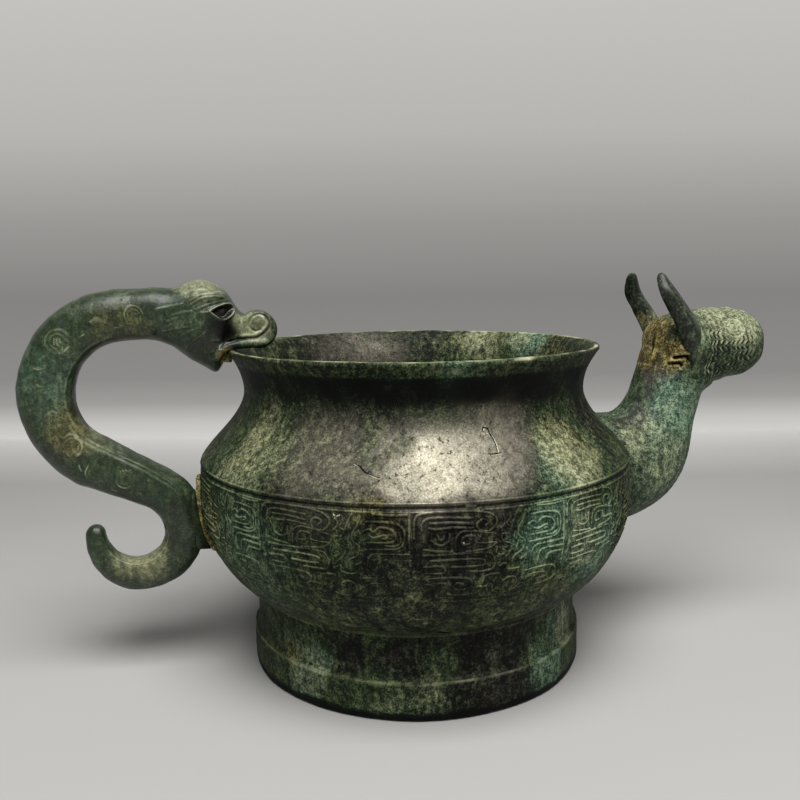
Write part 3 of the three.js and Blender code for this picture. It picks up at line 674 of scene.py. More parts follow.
# Runs of the foot's profile: inside, seat, waist, band and underside, each with its steps between points
foot_runs = [
    (4, [(foot_inside, 0.6), (foot_inside, 10), (foot_inside, seat_inner - 0.4)]),
    (2, [(foot_inside + 0.4, seat_inner - 0.2), (FOOT_WAIST - 0.5, seat_outer - 0.2)]),
    (8, [(FOOT_WAIST, seat_outer - 0.8), (FOOT_WAIST - 0.3, 24), (FOOT_WAIST, FOOT_BAND + 2.4)]),
    (6, [(FOOT_WAIST + 0.5, FOOT_BAND + 1.2), (FOOT_RADIUS, FOOT_BAND + 0.2), (FOOT_RADIUS + 0.1, 7),
         (FOOT_RADIUS, 1)]),
    (3, [(FOOT_RADIUS - 0.7, 0.2), (FOOT_RADIUS - 1.6, 0), (foot_inside + 1, 0)]),
]
foot_profile = [point for steps, run in foot_runs for point in flowing(run, steps)]
foot_bm = spun([*foot_profile, foot_profile[0]], BOWL_STEPS)
weather(foot_bm, (0.4, 30), (0.12, 7))
# The ledge on top of the band is marked pale, a painted highlight, and the bottom edge near black, a painted
# contact shadow.
ledge_and_shadow_layer = foot_bm.verts.layers.float.new("relief_and_painted_light")
for vert in foot_bm.verts:
    vert.co.z = max(vert.co.z, 0)
    ledge = math.exp(-((vert.co.z / MM - FOOT_BAND - 0.5) / LEDGE_WIDTH) ** 2)
    uneven = noise.noise(vert.co / (11 * MM)) + 0.7 * noise.noise(vert.co / (3 * MM))
    painted_contact_shadow = 1 - soft_step(vert.co.z / MM, 1.2, 4.5 + 2 * uneven)
    vert[ledge_and_shadow_layer] = ledge * min(0.8, 0.64 + 0.3 * uneven) - 0.9 * painted_contact_shadow
bead_run = []
for turn in np.linspace(math.pi, 3 * math.pi, SEAT_BEAD_STEPS).tolist():
    out = Vector((math.sin(turn), -math.cos(turn), 0))
    uneven = noise.noise(out * 9) + 0.5 * noise.noise(out * 31)
    place = AXIS + (out * (FOOT_WAIST - 0.2) + Vector((0, 0, seat_outer - 0.5 + 0.5 * uneven))) * MM
    bead_run.append((place, 0.8 + 0.5 * uneven))
# The bead is paler where it faces up: a painted highlight from the lamp above.
lay_threads(foot_bm, [bead_run], SEAT_BEAD_RADIUS, lambda outward, upward: 0.5 + 0.25 * upward)
foot_bronze = bronze(
    "foot_bronze", 0.4, 0.0, 0.12,
    Green=(0.5, round_patches(
        (-25, 25, 69, 13, 0.0), (14, 25, 69, 15, 0.05), (-5, 22, 70, 7, 0.75), (14, 7, 71, 14, 0.05),
        (-24, 7, 71, 13, 0.9), (-57, 17, 70, 18, 0.85), (-48, 6, 71, 14, 0.9), (42, 16, 70, 16, 1.0),
        (-25, 36, 69, 8, 0.9))),
    Blue=(0.15, round_patches(
        (36, 12, 71, 12, 0.52), (-45, 19, 70, 7, 0.5), (-50, 8, 71, 9, 0.42), (44, 24, 70, 9, 0.45))),
    Dust=(0.05, round_patches(
        (48, 22, 70, 9, 0.55), (-20, 8, 71, 8, 0.22), (-6, 17, 70, 5, 0.34), (14, 16, 70, 20, 0.0),
        (-50, 14, 70, 12, 0.42))),
    Ochre=(0.1, round_patches((-57, 16, 70, 4, 0.5))))
dressed("foot_casting", foot_bm, foot_bronze, "foot_ring")

# Foot solder. A fillet of soft solder run into the corner between the foot and the bowl's underside.
# Tin and lead, dull and brown with age. It is poured in from below and never shows from the front.
SOLDER_GRAIN = 0.45
solder = bronze("old_solder", 0.3, 0.0, 0.12, Green=0.5, Blue=0.1, Dust=0.3, Ochre=0.75, Polish=0.1)


def add_shell(whole, shell):
    """Puts one closed shell in with the others of a casting."""
    mesh = bpy.data.meshes.new("shell")
    shell.to_mesh(mesh)
    shell.free()
    whole.from_mesh(mesh)


def fused(shells, grain):
    """Closed shells melted into one skin, as the wax parts of a casting are."""
    whole = bmesh.new()
    for shell in shells:
        add_shell(whole, shell)
    blank = piece("blank", whole, None)
    melt = blank.modifiers.new("melt", "REMESH")
    melt.mode = "VOXEL"
    melt.voxel_size = grain * MM
    bm = bmesh.new()
    bm.from_mesh(finished_mesh(blank))
    return bm


def smoothed(bm, times):
    for _ in range(times):
        bmesh.ops.smooth_vert(bm, verts=bm.verts, factor=0.5, use_axis_x=True, use_axis_y=True,
                              use_axis_z=True)


def seam(name, node, material, softness):
    """A solder joint: the plain solid of its node with its edges rounded off and its skin uneven."""
    bm = bmesh.new()
    bm.from_mesh(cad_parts[node].data)
    bmesh.ops.remove_doubles(bm, verts=bm.verts, dist=1e-6)
    bm = fused([bm], SOLDER_GRAIN)
    smoothed(bm, softness)
    weather(bm, (0.3, 4))
    dressed(name, bm, material, node)


seam("foot_fillet", "foot_solder", solder, 3)

# Spout neck. A curved hollow neck that tapers up from the belly to the beast's head. Bronze, cast round a
# clay core and thick with blue-green crust. Its root spigot goes through the bowl's wall, and its upper
# spigot goes up into the head.
SPOUT_ROOT_RADIUS = 25
SPOUT_TOP_RADIUS = 15.5
SPOUT_SPIGOT_RADIUS = 21
SPOUT_TOP = Vector((121, 0, 118))
SPOUT_UP = Vector((math.sin(math.radians(17)), 0, math.cos(math.radians(17))))
ROOT_BORE = 18
TOP_BORE = 10
HEAD_SPIGOT_RADIUS = 13
HEAD_SPIGOT = 9.4
THROAT_SWELL = 4
NECK_BULGE = 2.4
NECK_POINTS = 61
NECK_SIDES = 80
SIDEWAYS = Vector((0, 1, 0))
spout_start = Vector((66.5, 0, SPOUT_HEIGHT))
spout_pulls = (Vector((109.2, 0, 73.4)), SPOUT_TOP - 27.3 * SPOUT_UP)
spout_middle = interpolate_bezier(spout_start, *spout_pulls, SPOUT_TOP, NECK_POINTS)


def wrapped(sides, steps, place, marks=None):
    """A skin rolled round a run: place(angle, along) gives a point, with along from 0 to 1."""
    bm = bmesh.new()
    bmesh.ops.create_grid(bm, x_segments=sides, y_segments=steps, size=1)
    layer = bm.verts.layers.float.new("relief_and_painted_light")
    for vert in bm.verts:
        angle = math.pi * (vert.co.x + 1)
        along = (vert.co.y + 1) / 2
        vert[layer] = marks(angle, along) if marks else 0.0
        vert.co = AXIS + Vector(place(angle, along)) * MM
    bmesh.ops.remove_doubles(bm, verts=bm.verts, dist=2e-6)
    bmesh.ops.holes_fill(bm, edges=[edge for edge in bm.edges if edge.is_boundary])
    bmesh.ops.recalc_face_normals(bm, faces=bm.faces)
    return bm


def neck_ring(along, radius, swell=0.0):
    """Points round the neck at a share of its length; beyond 1 the run goes on straight up."""
    step = along * (NECK_POINTS - 1)
    index = min(int(step), NECK_POINTS - 2)
    centre = spout_middle[index].lerp(spout_middle[index + 1], step - index)
    heading = (spout_middle[index + 1] - spout_middle[index]).normalized()
    across = Vector((-heading.z, 0, heading.x))

    def around(angle):
        out = math.cos(angle) * across + math.sin(angle) * SIDEWAYS
        return centre + (radius + swell * max(0.0, -math.cos(angle)) ** 1.5) * out
    return around


def on_wall(ring, inset):
    """The same ring laid on the round of the bowl, inset from its outside."""
    def around(angle):
        point = ring(angle).copy()
        edge = math.sqrt(max(0.0, (bowl_radius(point.z) - inset) ** 2 - point.y ** 2))
        point.x = max(point.x, edge)
        return point
    return around


def neck_swell(share):
    """How far the front of the neck stands out, at its middle and under the beast's throat."""
    return NECK_BULGE * math.exp(-((share - 0.5) / 0.22) ** 2) + THROAT_SWELL * soft_step(share, 0.92, 1.01)


def tapered(share, root, top):
    """A radius that shrinks up the neck, from its root to its top."""
    return root + (top - root) * soft_step(share, 0.2, 0.85)


# Rings of the neck in turn: down the bore, round the root spigot, up the outside and round the upper spigot
spigot_top = 1 + HEAD_SPIGOT / (spout_middle[-1] - spout_middle[-2]).length / (NECK_POINTS - 1)
neck_rings = []
for share in np.linspace(spigot_top, 0.2, 40).tolist():
    neck_rings.append(on_wall(neck_ring(share, tapered(share, ROOT_BORE, TOP_BORE)), BOWL_WALL))
bowl_inside = BOWL_WALL + 0.2
neck_rings.append(on_wall(neck_ring(0.0, ROOT_BORE), bowl_inside))
neck_rings += [on_wall(neck_ring(0.0, SPOUT_SPIGOT_RADIUS), inset) for inset in (bowl_inside, -0.2)]
for share in np.linspace(0.0, 1.0, 90).tolist():
    radius = tapered(share, SPOUT_ROOT_RADIUS, SPOUT_TOP_RADIUS)
    neck_rings.append(on_wall(neck_ring(share, radius, neck_swell(share)), -0.4))
neck_rings += [neck_ring(share, HEAD_SPIGOT_RADIUS) for share in (1.0, spigot_top)]
neck_rings.append(neck_rings[0])


def neck_place(angle, along):
    return neck_rings[round(along * (len(neck_rings) - 1))](angle)


neck_bm = wrapped(NECK_SIDES, len(neck_rings) - 1, neck_place)
bmesh.ops.remove_doubles(neck_bm, verts=neck_bm.verts, dist=1e-4)
weather(neck_bm, (0.4, 24), (0.15, 6))
spout_bronze = bronze(
    "spout_bronze", 0.4, 0.0, 0.25,
    Green=(0.95, [((96, -11, 102), 8, 0.1), ((107, -13, 118), 9, 0.0), ((140, -12, 118), 12, 0.7)]),
    Blue=(0.3, [((119, -13, 104), 12, 0.95), ((106, -22, 92), 9, 0.6), ((116, 14, 100), 14, 0.7),
                ((149, -12, 141), 7, 0.6), ((110, -24, 78), 14, 0.52)]),
    Dust=(0.12, [((98, -20, 93), 11, 0.6), ((108, -24, 80), 15, 0.5), ((118, -14, 106), 13, 0.36),
                 ((107, -13, 118), 9, 0.0), ((143, -10, 144), 17, 0.78), ((140, -12, 118), 12, 0.15)]),
    Ochre=(0.1, [((109, -6, 134), 12, 0.95), ((115, -15, 128), 7, 1.0), ((112, 6, 133), 12, 0.95),
                 ((113, -14, 137), 5, 0.3)]),
    Polish=(0.1, [((104, -12, 115), 8, 0.4)]))
dressed("spout_neck_casting", neck_bm, spout_bronze, "spout_neck")

# Spout solder. A thin bead of solder round the root of the spout, where it meets the belly.
# Tin and lead, gone green. It is run round the joint once the spigot is in its hole.
seam("spout_root_bead", "spout_solder", spout_bronze, 3)

# Beast head. A hollow cast head with a round skull, a thick blunt snout that pours at its end, rows of fine
# scales on the snout and a hairy golden nape. Bronze, green with crust. It sits on the neck's spigot.
SKULL_CENTRE = (125.0, 0, 131.1)
SKULL_SIZE = (16.5, 19, 14)
SNOUT_RADIUS = 16
SNOUT_HEIGHT = 130.6
SNOUT_START = 123
SNOUT_END = 163.6
SNOUT_SHARES = [(0, 0.86), (0.3, 0.98), (0.55, 1), (0.75, 0.95), (0.86, 0.83), (0.94, 0.64), (1, 0.3)]
THROAT_RUN = [(124, 119, 14.2), (130, 121.5, 13.4), (139, 125.5, 13), (147, 128.6, 13)]
MOUTH_BORE = 8
MOUTH_HEIGHT = 129
MOUTH_REACH = 60
SOCKET_REACH = 14.5
HOLE_INSET = 4
SCALE_LENGTH = 2.3
SCALE_PITCH = 2.5
SCALE_SLANT = 1.4
SCALE_LIFT = 0.35
NAPE_LIFT = 0.5
COLLAR_RISE = 13.5
HEAD_GRAIN = 0.45
# Side lines of the head, as places forward of and above the top of the neck
CHEEK_RIDGE = [(4, 20), (4.8, 14), (3.2, 8), (2.4, 2)]
NAPE_EDGE = [(-13.5, 4.5), (-9, 0.8), (-4, 1.2), (0, 3)]
COMMA_SLOTS = [[(-6, 7.8), (-2, 8.4), (-0.6, 7)], [(-8, 5), (-4, 5.4), (-3.2, 4.2)]]
JAW_CURLS = [
    [(-6, 1), (-3, 0.2), (0, 1.6)],
    [(3.5, 1.5), (7, 2.6), (9, 0.6), (7, -1.4)],
    [(12, 4), (15, 3), (17, 0)],
    [(18, 5), (21, 3.5), (22.5, 0)],
    [(24, 6), (27, 4.5), (28, 2)],
]
EYE_SPOT = (22.1, 20.1)
EYE_RINGS = (1.2, 2.5, 3.8)
CROWN_KNOBS = [(11.3, 26.4), (15.5, 27.6), (19.5, 28.4), (27, 28.6)]


def ball(centre, size):
    """A rounded lump of wax."""
    bm = bmesh.new()
    spot = Matrix.Translation(AXIS + Vector(centre) * MM) @ Matrix.Diagonal((*(Vector(size) * MM), 1))
    bmesh.ops.create_icosphere(bm, subdivisions=4, radius=1, matrix=spot)
    return bm


def evened(points, steps):
    """A smooth run through a few points, as an array with a row for each place."""
    return np.array([tuple(point) for point in flowing(points, steps)])


def near(flat, run, width):
    """How close each flat place is to a drawn line: 1 on it and 0 well away from it."""
    best = np.full(len(flat), 1e9)
    points = evened(run, 3)
    for start, end in zip(points, points[1:]):
        along = end - start
        share = np.clip(((flat - start) @ along) / max(along @ along, 1e-9), 0, 1)
        best = np.minimum(best, np.linalg.norm(flat - start - share[:, None] * along, axis=1))
    return np.exp(-(best / width) ** 2)


def glow(flat, centre, width, ring=0.0):
    """A soft spot round a flat place, or a soft ring of a given radius."""
    gap = np.linalg.norm(flat - np.array(centre), axis=1)
    return np.exp(-((gap - ring) / width) ** 2)


def ramp(values, start, span):
    """0 up to a start and 1 beyond a span from it, which may run backwards."""
    return np.clip((values - start) / span, 0, 1)


def worn_at(places, grain, level, swing):
    """Uneven wear over many places."""
    return np.array([level + swing * noise.noise(Vector(place) / grain) for place in places])


def emboss(bm, field):
    """Raises the skin by field(places, normals), which also gives marks of wear and grime, and of painted
    shade.
    """
    layer = bm.verts.layers.float.get("relief_and_painted_light") or bm.verts.layers.float.new("relief_and_painted_light")
    bm.normal_update()
    places = (np.array([vert.co for vert in bm.verts]) - np.array(AXIS)) / MM
    normals = np.array([vert.normal for vert in bm.verts])
    lifts, marks = field(places, normals)
    for vert, normal, lift, mark in zip(bm.verts, normals, lifts, marks):
        vert.co += Vector(normal) * float(lift) * MM
        vert[layer] = max(-1.0, min(1.0, vert[layer] + float(mark)))


def snout_place(angle, along):
    radius = SNOUT_RADIUS * float(np.interp(along, *zip(*SNOUT_SHARES)))
    x = SNOUT_START + (SNOUT_END - SNOUT_START) * along
    return (x, radius * math.sin(angle), SNOUT_HEIGHT + radius * math.cos(angle))


def collar_place(angle, along):
    """The collar above the neck, which carries on the swell of the throat."""
    across = Vector((SPOUT_UP.z, 0, -SPOUT_UP.x))
    radius = SPOUT_TOP_RADIUS + 0.15 + neck_swell(1) * max(0.0, math.cos(angle)) ** 1.5 * (1 - 0.5 * along)
    rise = SPOUT_UP * (COLLAR_RISE * along - 1)
    return SPOUT_TOP + rise + radius * (math.cos(angle) * across + math.sin(angle) * SIDEWAYS)


head_parts = [ball(SKULL_CENTRE, SKULL_SIZE), wrapped(48, 40, snout_place), wrapped(48, 8, collar_place)]
head_parts += [ball((x, 0, z), (radius, radius, radius)) for x, z, radius in THROAT_RUN]
head_bm = fused(head_parts, HEAD_GRAIN)
smoothed(head_bm, 8)
weather(head_bm, (0.5, 9))
bmesh.ops.bisect_plane(head_bm, geom=[*head_bm.verts, *head_bm.edges, *head_bm.faces], clear_inner=True,
                       plane_co=AXIS + (SPOUT_TOP - 0.4 * SPOUT_UP) * MM, plane_no=SPOUT_UP)
bmesh.ops.holes_fill(head_bm, edges=[edge for edge in head_bm.edges if edge.is_boundary])


def head_relief(places, normals):
    """Scales over the snout, rings round the eyes, hair on the nape, slots, curls and knobs."""
    flat = places[:, [0, 2]] - np.array([SPOUT_TOP.x, SPOUT_TOP.z])
    forward = flat[:, 0]
    side = np.clip(np.abs(normals[:, 1]) * 1.6, 0, 1)
    angle = np.arctan2(places[:, 1], places[:, 2] - SNOUT_HEIGHT)
    off_top = np.abs(angle)
    drift = np.array([noise.noise_vector(Vector(place) / 6) for place in places])
    zigzag = np.abs((angle * SNOUT_RADIUS / SCALE_PITCH + 0.4 * drift[:, 1]) % 2 - 1)
    row = (forward + SCALE_SLANT * zigzag + drift[:, 0]) / SCALE_LENGTH
    stroke = np.cos(2 * math.pi * row) * ramp(np.abs(zigzag - 0.5), 0.5, -0.3)
    on_snout = ramp(forward, 6, 3) * ramp(forward, 33, -3)
    on_snout *= ramp(off_top, 2.7, -0.3) * (0.4 + 0.6 * ramp(off_top, 0.8, 0.5))
    eye_gap = np.linalg.norm((flat - np.array(EYE_SPOT)) * np.array([0.8, 1]), axis=1)
    on_snout *= 1 - 0.9 * (eye_gap < EYE_RINGS[-1] + 0.8) * (side > 0.3)
    scales = stroke * on_snout * np.clip(worn_at(places, 8, 0.75, 0.9), 0.2, 1)
    lift = SCALE_LIFT * scales
    for radius in EYE_RINGS:
        lift += 0.3 * np.exp(-((eye_gap - radius) / 0.4) ** 2) * side
    hair = np.array([noise.noise(Vector((y * 0.9, (x + z) * 0.06, 3.0))) for x, y, z in places])
    lift += NAPE_LIFT * hair * ramp(forward, -3, -4) * ramp(flat[:, 1], 1, 4)
    lift += 0.35 * near(flat, CHEEK_RIDGE, 1.2) * side
    lift += 0.4 * near(flat, NAPE_EDGE, 0.6) * side
    mark = 1.2 * lift + 0.5 * scales
    for slot in COMMA_SLOTS:
        edge = near(flat, slot, 1.3) * side
        cut = 2.6 * near(flat, slot, 0.8) * side
        lift += 0.9 * edge - cut
        mark += 1.4 * edge - cut
    for curl in JAW_CURLS:
        lift += 0.35 * near(flat, curl, 0.6) * side
        mark += 0.2 * near(flat, curl, 0.5) * side
    for knob in CROWN_KNOBS:
        lift += 0.7 * glow(flat, knob, 1.4) * (1 - side)
    fade = ramp(flat @ np.array([SPOUT_UP.x, SPOUT_UP.z]), 0.5, 3)
    return lift * fade, mark * fade


emboss(head_bm, head_relief)
mouth_start = AXIS + Vector((SKULL_CENTRE[0] - HOLE_INSET, 0, MOUTH_HEIGHT)) * MM
spigot_start = AXIS + (SPOUT_TOP - HOLE_INSET * SPOUT_UP) * MM
head_bm = pierced(head_bm, [
    (MOUTH_BORE * MM, mouth_start, mouth_start + Vector((MOUTH_REACH, 0, 0)) * MM),
    ((HEAD_SPIGOT_RADIUS + 0.2) * MM, spigot_start, spigot_start + SPOUT_UP * SOCKET_REACH * MM),
])
dressed("beast_head_casting", head_bm, spout_bronze, "spout_head")

# Head solder. The thin ring of solder between the neck's top and the head.
# Tin and lead, under the same green crust as both. It is run in when the head is set on the spigot.
seam("head_ring", "spout_head_solder", spout_bronze, 3)

# Ears. Two upright pointed ears, lens shaped in section with a sharp ridge down the middle of the face, bent
# back at the tips. Bronze, cast on their own, each with a tenon that is set in the side of the skull.
EAR_ROOT = (119.4, 19, 133.9)
EAR_HEIGHT = 29
EAR_WIDTH = 11
EAR_THICKNESS = 7.5
EAR_RIDGE_WIDTH = math.radians(7.92)
# Rings up the ear: rise, lean forward, spread, width and thickness, all as shares
EAR_RINGS = [
    (-0.42, 0.12, -0.16, 0.12, 0.25), (-0.3, 0.11, -0.1, 0.38, 0.5), (-0.12, 0.06, -0.07, 0.7, 0.75),
    (0.08, 0.02, -0.05, 0.95, 0.95), (0.22, -0.04, -0.045, 1, 1), (0.4, -0.15, -0.045, 0.98, 0.95),
    (0.68, -0.33, -0.055, 0.8, 0.8), (0.88, -0.4, -0.14, 0.55, 0.6), (0.97, -0.415, -0.175, 0.34, 0.42),
    (1, -0.42, -0.186, 0.08, 0.12),
]
ear_places = evened([ring[:3] for ring in EAR_RINGS], 8)
ear_run = np.hstack([ear_places, evened([ring[3:] for ring in EAR_RINGS], 8)])


def at_share(run, along):
    """The values of a run part of the way along it."""
    steps = np.linspace(0, 1, len(run))
    return [float(np.interp(along, steps, column)) for column in run.T]


def shaped(value, power):
    """A sine or cosine made fuller or sharper, with its sign kept."""
    return math.copysign(abs(value) ** power, value)


# A pale line down the middle of each ear's outer face is a painted highlight on its ridge; the rest of the
# ear is a little darker.
def ear_ridge_highlight(angle, along):
    ridge = math.exp(-((angle - math.pi / 2) / EAR_RIDGE_WIDTH) ** 2)
    return 0.75 * ridge * soft_step(along, 0.35, 0.55) - 0.1


ear_bronze = bronze(
    "ear_bronze", 0.2, 0.3, 0.3,
    Green=0.45,
    Blue=0.2,
    Dust=(0.0, [((116, 18, 138), 8, 0.5)]),
    Ochre=(0.05, [((112, 16, 136), 8, 0.8)]))
for side, node in ((1, "ear_left"), (-1, "ear_right")):
    def ear_place(angle, along):
        rise, lean, spread, wide, thick = at_share(ear_run, along)
        x = EAR_ROOT[0] + lean * EAR_HEIGHT + shaped(math.cos(angle), 1.4) * wide * EAR_WIDTH / 2
        y = EAR_ROOT[1] + spread * EAR_HEIGHT + shaped(math.sin(angle), 1.6) * thick * EAR_THICKNESS / 2
        return (x, side * y, EAR_ROOT[2] + rise * EAR_HEIGHT)
    ear_bm = wrapped(48, 80, ear_place, ear_ridge_highlight)
    weather(ear_bm, (0.25, 6))
    dressed(node + "_casting", ear_bm, ear_bronze, node)

# Handle arm. A solid cast arm that leaves the dragon's neck, loops down and back to the belly and ends in a
# curled tail. Bronze, round outside and flat where fingers close on it, with small cast roundels on its
# sides. Its lug has a tenon that goes into the bowl's wall.
ARM_START = Vector((-106.5, 0, 149.7))
ARM_OVERLAP = 3
TOP_RUN = 11.7
LOOP_RADIUS = 32.2
LOOP_END = 241.4
ARM_STRAIGHT = 27.5
HOOK_RADIUS = 17.7
HOOK_START = 61.4
HOOK_END = -192
TIP_TUCK = 1.6
# Taper of the arm: share of the way to the tail, thickness and width
ARM_SIZES = [(0, 20.5, 17), (0.1, 19.7, 16.6), (0.3, 16, 15.6), (0.6, 12.6, 14), (0.8, 11, 12), (1, 7, 7)]
# Extra thickness on the side of the bowl, by share of the arm's length
ARM_FILL = [(0, 0), (0.1, 0.6), (0.27, 1.8), (0.42, 1.8), (0.5, 2.6), (0.56, 3.4), (0.62, 3.8), (0.7, 4),
            (0.78, 3.4), (0.85, 2.6), (0.92, 1.2), (1, 0)]
FLAT_POWER = 0.5
LINE_LIFT = 0.5
LINE_WIDTH = 3.2
MARK_LIFT = 0.4
MARK_WIDTH = 0.42
TIP_LENGTH = 4
# Marks cast on both sides of the arm, as places in the side view
ROUNDELS = [
    ((-142.4, 140), 4.5), ((-113.4, 149.6), 3.5), ((-139.4, 98.4), 3.4), ((-131.6, 87.2), 3.8),
    ((-120.5, 84), 3.6),
]
ARM_LINES = [
    [(-143.5, 139), (-143.5, 141)], [(-142.4, 138.8), (-142.4, 141.2)], [(-141.3, 139), (-141.3, 141)],
    [(-152, 130), (-150, 129.4), (-147.6, 129.8)], [(-151, 123.6), (-149.6, 122.6), (-148, 123.4)],
    [(-148, 111), (-146.4, 113), (-144.4, 112)], [(-141.5, 95.5), (-139, 94), (-136.6, 95.6)],
    [(-142.6, 102), (-140, 103.4), (-137.6, 102)], [(-137.6, 91), (-136.8, 88.4)],
    [(-127, 86.6), (-125, 87.4)], [(-116.6, 77.6), (-114.4, 76.8)], [(-126, 80), (-124, 79)],
    [(-112, 83), (-110, 82)], [(-130, 147.5), (-127, 148.6), (-124, 148)],
    [(-121, 144.6), (-118, 145.4)], [(-134, 141), (-132.4, 142.6)],
]
# Rings of the lug from the arm to the belly: place, underside, top and half width
LUG_RINGS = [(-106.5, 60, 70, 5), (-103, 55, 73, 5.6), (-99, 52, 75, 5.6), (-95, 50, 76, 5.6)]
LUG_GAP = 2.4
ARM_GREEN = 0.85
ARM_DUST = 0.0
ARM_WAX = 0.08
ARM_GLOSS = 0.42
ARM_SMOOTH = 0.9
NECK_DUST = ((-122, -3, 158), 18, 0.12)
NECK_EARTH = ((-118, -6, 144), 14, 0.3)
loop_length = LOOP_RADIUS * math.radians(LOOP_END - 90)
hook_length = HOOK_RADIUS * math.radians(HOOK_START - HOOK_END)
arm_length = TOP_RUN + loop_length + ARM_STRAIGHT + hook_length
loop_centre = ARM_START + Vector((-TOP_RUN, 0, -LOOP_RADIUS))


def aimed(degrees):
    turn = math.radians(degrees)
    return Vector((math.cos(turn), 0, math.sin(turn)))


loop_last = loop_centre + LOOP_RADIUS * aimed(LOOP_END)
hook_first = loop_last + ARM_STRAIGHT * aimed(LOOP_END + 90)
hook_centre = hook_first - HOOK_RADIUS * aimed(HOOK_START)


def arm_frame(length):
    """Middle of the arm, its outward side and its share of taper, at a length from the dragon's neck."""
    on_loop = length - TOP_RUN
    on_straight = on_loop - loop_length
    on_hook = on_straight - ARM_STRAIGHT
    if on_loop < 0:
        return ARM_START - Vector((length, 0, 0)), aimed(90), 0.0
    if on_straight < 0:
        out = aimed(90 + math.degrees(on_loop / LOOP_RADIUS))
        return loop_centre + LOOP_RADIUS * out, out, 0.1 * on_loop / loop_length
    if on_hook < 0:
        share = on_straight / ARM_STRAIGHT
        return loop_last.lerp(hook_first, share), aimed(LOOP_END), 0.1 + 0.35 * share
    out = aimed(HOOK_START - math.degrees(on_hook / HOOK_RADIUS))
    share = on_hook / hook_length
    radius = HOOK_RADIUS - TIP_TUCK * soft_step(share, 0.6, 1)
    return hook_centre + radius * out, -out, 0.45 + 0.55 * share


def arm_reach(along):
    """Length along the arm and how far its flat side has changed over to the inside of the tail."""
    length = -ARM_OVERLAP + along * (arm_length + ARM_OVERLAP)
    start = arm_length - hook_length
    return length, soft_step(length, start - 8, start + 16)


def arm_edge(angle, along):
    """The thin raised lines where the flat face meets the round outside."""
    length, change = arm_reach(along)
    off_inside = abs(math.degrees(angle) - 180)
    show = soft_step(length, 8, 20) * (1 - soft_step(length, arm_length - 12, arm_length - TIP_LENGTH))
    line = 0.0
    for edge, amount in ((126, 1 - change), (114, (1 - change) * soft_step(length, 70, 84)), (56, change)):
        line += amount * show * math.exp(-((off_inside - (180 - edge)) / LINE_WIDTH) ** 2)
    return 0.7 * min(1.0, line)


def arm_place(angle, along):
    length, change = arm_reach(along)
    middle, out, taper = arm_frame(max(length, 0))
    middle = middle - Vector((min(length, 0), 0, 0))
    shares, thick, wide = zip(*ARM_SIZES)
    tip = max(0.0, (length - arm_length + TIP_LENGTH) / TIP_LENGTH)
    blunt = math.sqrt(max(0.0004, 1 - tip * tip)) * (1 + 0.04 * min(length, 0))
    high = 0.5 * float(np.interp(taper, shares, thick)) * blunt
    broad = 0.5 * float(np.interp(taper, shares, wide)) * blunt
    inside = math.cos(angle) < 0
    power = 1 + (FLAT_POWER - 1) * ((1 - change) if inside else change)
    swell = 1 + LINE_LIFT * arm_edge(angle, along) / max(high, 1)
    high += float(np.interp(along, *zip(*ARM_FILL))) if inside else 0.0
    lift = shaped(math.cos(angle), power) * high * swell
    return middle + lift * out + SIDEWAYS * math.sin(angle) * broad * swell


def arm_relief(places, normals):
    """Roundels and strokes on the arm's sides, worn unevenly, and darker along the inside of the loop."""
    flat = places[:, [0, 2]]
    side = np.clip(np.abs(normals[:, 1]) * 1.5 - 0.2, 0, 1)
    lift = np.zeros(len(flat))
    for centre, radius in ROUNDELS:
        lift += glow(flat, centre, MARK_WIDTH, radius) + 0.8 * glow(flat, centre, 0.36, 0.62 * radius)
    for line in ARM_LINES:
        lift += near(flat, line, MARK_WIDTH)
    worn = worn_at(places, 5, 0.75, 0.8)
    lift = np.minimum(lift, 1) * side * np.clip(worn, 0.1, 1)
    inward = np.array(loop_centre)[[0, 2]] - flat
    inward /= np.linalg.norm(inward, axis=1)[:, None]
    inner = np.clip((normals[:, [0, 2]] * inward).sum(axis=1) - 0.5, 0, 0.4) * (flat[:, 1] > 92)
    return MARK_LIFT * lift, 0.95 * lift - 0.9 * inner * np.clip(worn, 0.2, 1)


def lug_place(angle, along):
    xs, lows, highs, halves = zip(*LUG_RINGS)
    x = xs[0] + (xs[-1] - xs[0]) * along
    low, high, half = (float(np.interp(x, xs, values)) for values in (lows, highs, halves))
    z = (low + high) / 2 + (high - low) / 2 * shaped(math.cos(angle), 0.6)
    y = half * shaped(math.sin(angle), 0.7)
    edge = -math.sqrt(max(0.0, (bowl_radius(z) + LUG_GAP) ** 2 - y ** 2))
    return (min(x, edge) if along < 1 else edge, y, z)


arm_bm = wrapped(128, 460, arm_place, arm_edge)
emboss(arm_bm, arm_relief)
add_shell(arm_bm, wrapped(64, 24, lug_place))
weather(arm_bm, (0.45, 14), (0.22, 4.5))
arm_bronze = bronze(
    "arm_bronze", 0.22, ARM_WAX, ARM_GLOSS,
    Green=(ARM_GREEN, [((-100, -6, 66), 12, 0.6)]),
    Blue=(0.1, [((-150, -6, 122), 14, 0.34)]),
    Dust=(ARM_DUST, [NECK_DUST, ((-116, -3, 51.5), 12, 0.62), ((-128, -3, 100), 9, 0.4),
                     ((-100, -6, 66), 12, 0.0)]),
    Ochre=(0.0, [((-116, -3, 52), 10, 0.58), ((-138, -7, 106), 13, 0.34), NECK_EARTH]),
    Polish=0.05,
    Smooth=ARM_SMOOTH)
dressed("handle_arm_casting", arm_bm, arm_bronze, "handle_arm")

# Dragon head. A solid cast head that bites the rim: a high brow, hollow almond eyes, a snout rolled up into
# a scroll, a lip that runs back from it and a jaw below the rim. Bronze. It is set on the arm's spigot.
BITE = Vector((-78, 0, 134.5))
